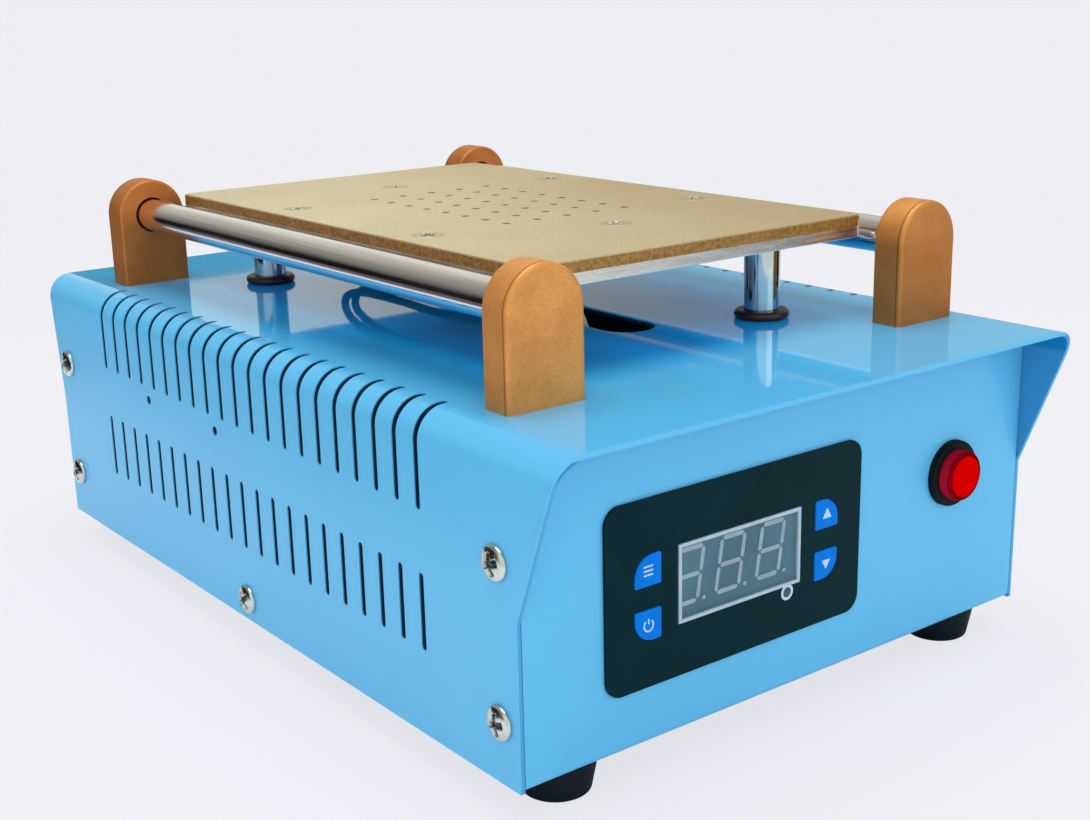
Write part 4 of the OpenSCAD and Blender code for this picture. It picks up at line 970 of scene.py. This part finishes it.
class SEPARATOR_OT_screws(bpy.types.Operator):
    """Make the pan heads in the cover's sides and the flat heads in the plate, each stopped at another
    angle"""

    bl_idname = "separator.screws"
    bl_label = "Screws"

    def execute(self, context):
        s = sizes()
        for side, face in zip(("left", "right"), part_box("top_cover")):
            node = f"cover_screws_{side}"
            low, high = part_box(node)
            corners_y = (low.y + s.pan_radius, high.y - s.pan_radius)
            places = [(y, z) for y in corners_y for z in (s.pan_low, high.z - s.pan_radius)]
            places.append(((low.y + high.y) / 2, low.z + s.pan_radius))
            head_height = max(abs(low.x), abs(high.x)) - abs(face.x)
            places = [((face.x, y, z), side, 12 + 7 * i) for i, (y, z) in enumerate(places)]
            self.screws(f"side_screws_{side}", pan_screw(high.x - low.x - head_height), places,
                        "screw_steel", node)
        low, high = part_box("plate_screws")
        centre, out_x = (low + high) / 2, high.x - s.flat_radius
        places = [(sx * out_x, sy * s.flat_along) for sx in (-1, 1) for sy in (-1, 1)]
        places += [(0, sy * (high.y - centre.y - s.flat_radius)) for sy in (-1, 1)]
        places = [((centre.x + x, centre.y + y, high.z), "up", 12 + 31 * i) for i, (x, y) in enumerate(places)]
        self.screws("plate_screw_heads", flat_screw(high.z - low.z), places, "plate_screw_steel",
                    "plate_screws")
        return {"FINISHED"}

    def screws(self, name, screw, places, slot, node):
        """One piece of equal screws, each given by its place, the way that it faces and its turn."""
        skin, recess = screw
        make_piece(name, [placed(skin, *place) for place in places], "base", slot, [node],
                   recess=np.tile(recess, len(places)))


class SEPARATOR_OT_feet(bpy.types.Operator):
    """Make the four moulded rubber feet"""

    bl_idname = "separator.feet"
    bl_label = "Feet"

    def execute(self, context):
        s = sizes()
        rim, soft, corner = s.foot_rim, 0.4 * MM, 0.5 * MM
        for node in (f"foot_{end}_{side}" for end in ("front", "rear") for side in ("left", "right")):
            low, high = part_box(node)
            radius, height = (high.x - low.x) / 2, high.z
            profile = np.vstack([
                arc((s.foot_pocket + soft, soft), soft, 180, 270, 3),
                arc((0.85 * radius - rim, rim), rim, 270, 354, 6),
                arc((radius - corner, height - corner), corner, 0, 90, 4),
                [[s.foot_bore, height], [s.foot_bore, s.foot_floor], [s.foot_pocket, s.foot_floor]]])
            foot = placed(shell(turned_rings(profile)), middle(node) * (1, 1, 0))
            make_piece(f"rubber_{node}", [foot], "base", "black_rubber", [node])
        return {"FINISHED"}


class SEPARATOR_OT_keys(bpy.types.Operator):
    """Make the four keys with their signs, and the ring round the lamp"""

    bl_idname = "separator.keys"
    bl_label = "Keys"

    def execute(self, context):
        s = sizes()
        stroke, rise = s.sign_stroke, s.sign_rise
        signs = {
            "key_set": list_sign(1.4 * MM, stroke, rise),
            "key_power": power_sign(1.4 * MM, stroke, rise),
            "key_up": arrow_sign(1.6 * MM, 1, rise),
            "key_down": arrow_sign(1.5 * MM, -1, rise)}
        for node, sign in signs.items():
            self.key(s, node, sign)
        x, _, z = middle("status_led")
        ring = stroke_skin(circle(s.ring_radius, 48), s.ring_stroke, rise, closed=True)
        make_print("lamp_ring", [ring], (x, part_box("control_overlay")[0].y, z), "front", "base",
                   "overlay_black")
        return {"FINISHED"}

    def key(self, s, node, sign):
        """A key with one large round corner, its flange behind the overlay and its stem."""
        low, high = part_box(node)
        x, _, z = middle(node)
        width, height = high.x - low.x, high.z - low.z
        left, upper = x < middle("control_overlay")[0], node in ("key_set", "key_up")
        radii = np.full(4, s.key_small)
        radii[(3 if left else 2) if upper else (0 if left else 1)] = s.key_corner
        front, back = -low.y, -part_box("control_overlay")[1].y
        flange_low, soft = back - 0.65 * MM, 0.02 * MM
        cap = slab(lambda inset: outline(rectangle(width - 2 * s.key_flange, height - 2 * s.key_flange),
                                         radii, inset, 10),
                   edge_levels(back, front, soft, s.key_round))
        flange = slab(lambda inset: outline(rectangle(width, height), radii + s.key_flange, inset, 10),
                      edge_levels(flange_low, back - 0.05 * MM, soft, soft))
        stem = capped(turned_rings([[s.key_stem, -high.y], [s.key_stem, flange_low]], 32))
        make_piece(f"{node}_cap", [placed(skin, (x, 0, z), "front") for skin in (cap, flange, stem)], node,
                   "key_blue", [node])
        make_print(f"{node}_sign", sign, (x, -front, z), "front", node, "key_blue")


class SEPARATOR_OT_start_button(bpy.types.Operator):
    """Make the start button's cap"""

    bl_idname = "separator.start_button"
    bl_label = "Start button"

    def execute(self, context):
        s = sizes()
        low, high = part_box("start_cap")
        radius, corner, soft = (high.x - low.x) / 2, s.cap_round, 0.2 * MM
        front, back, floor = -low.y, -high.y, -low.y - s.cap_depth
        face = np.linspace(0.04, 1, 10) * (radius - corner - s.cap_groove - soft)
        profile = np.vstack([
            np.column_stack([face, np.full(len(face), front)]),
            arc((face[-1], front - soft), soft, 80, 0, 3),
            [[face[-1] + soft, floor], [radius - corner, floor]],
            arc((radius - corner, front - corner - 0.3 * MM), corner, 90, 0, 8),
            [[radius, back + soft], [radius - soft, back], [0.3 * radius, back]]])
        out, up = profile.T
        groove = (up < floor + 0.1 * MM) & (out < radius - 0.5 * corner)
        rim = (out > face[-1] + 0.3 * MM) & (up > front - corner - 0.25 * MM)
        rings = turned_rings(profile, 96)
        # Painted shade: the groove takes the full dark red and the front rim seven tenths of it
        recess = np.append(np.repeat(np.where(groove, 1, np.where(rim, 0.7, 0)), 96), [0, 0])
        centre = (low + high) / 2
        skin = shell(rings, np.array([[0, 0, front], [0, 0, back]]))
        make_piece("start_button_cap", [placed(skin, (centre.x, 0, centre.z), "front")], "start_cap",
                   "start_red", ["start_cap"], recess=recess)
        return {"FINISHED"}


class SEPARATOR_OT_rear(bpy.types.Operator):
    """Make the marks on the mains rocker and the metal of the inlet's pins"""

    bl_idname = "separator.rear"
    bl_label = "Rear panel"

    def execute(self, context):
        s = sizes()
        pivot = next(joint for joint in frame["joints"] if joint["child"] == "mains_rocker")["pos_m"]
        rest, slope = -9, 11        # degrees: the rocker's tilt at rest, and of each half against it
        turn = Matrix.Rotation(math.radians(rest), 3, "X")
        stroke = np.column_stack([np.zeros(5), np.linspace(-1, 1, 5) * s.mark_radius])
        marks = {"on": (1, stroke_skin(stroke, s.sign_stroke, s.sign_rise)),
                 "off": (-1, stroke_skin(circle(s.mark_radius, 40), s.sign_stroke, s.sign_rise, closed=True))}
        for name, (up, skin) in marks.items():
            at = Vector(pivot) + turn @ Vector((0, s.mark_reach, up * s.mark_rise))
            make_print(f"rocker_{name}_mark", [skin], at, "rear", "mains_rocker", "switch_black",
                       rest - slope * up)
        x, _, z = middle("inlet_socket")
        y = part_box("inlet_socket")[1].y - s.pin_root
        for i, (side, rise) in enumerate(((-1, -1), (0, 1), (1, -1))):
            pin = slab(lambda inset: outline(rectangle(s.pin_width * 1.04, s.pin_height * 1.03), 0.5 * MM,
                                             inset, 4),
                       edge_levels(0.1 * MM, s.pin_reach + 0.05 * MM, 0.02 * MM, 0.4 * MM))
            at = (x + side * s.pin_aside, y, z + rise * s.pin_above)
            make_piece(f"inlet_pin_{i + 1}", [placed(pin, at, "rear")], "base", "screw_steel")
        return {"FINISHED"}


class SEPARATOR_PT_panel(bpy.types.Panel):
    """The steps that dress the machine, and what can be changed in them"""

    bl_idname = "SEPARATOR_PT_panel"
    bl_label = "Screen separator"
    bl_space_type = "VIEW_3D"
    bl_region_type = "UI"
    bl_category = "Separator"

    def draw(self, context):
        for step in STEPS:
            self.layout.operator(step.bl_idname)
        for group, owner in GROUPS.items():
            box = self.layout.box()
            for name in group.__annotations__:
                box.prop(getattr(context.scene, owner), name, text=name.replace("_", " ").capitalize())


GROUPS = {SeparatorColours: "separator_colours", SeparatorSizes: "separator_sizes",
          SeparatorStage: "separator_stage"}
STEPS = (SEPARATOR_OT_stage, SEPARATOR_OT_cords, SEPARATOR_OT_finishes, SEPARATOR_OT_screws,
         SEPARATOR_OT_feet, SEPARATOR_OT_keys, SEPARATOR_OT_start_button, SEPARATOR_OT_rear)


def register():
    for item in (*GROUPS, *STEPS, SEPARATOR_PT_panel):
        bpy.utils.register_class(item)
    for group, name in GROUPS.items():
        setattr(bpy.types.Scene, name, bpy.props.PointerProperty(type=group))


def unregister():
    for name in GROUPS.values():
        delattr(bpy.types.Scene, name)
    for item in reversed((*GROUPS, *STEPS, SEPARATOR_PT_panel)):
        bpy.utils.unregister_class(item)


def main():
    """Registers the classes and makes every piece."""
    register()
    for step in STEPS:
        group, name = step.bl_idname.split(".")
        getattr(getattr(bpy.ops, group), name)()


if __name__ == "__main__":
    main()
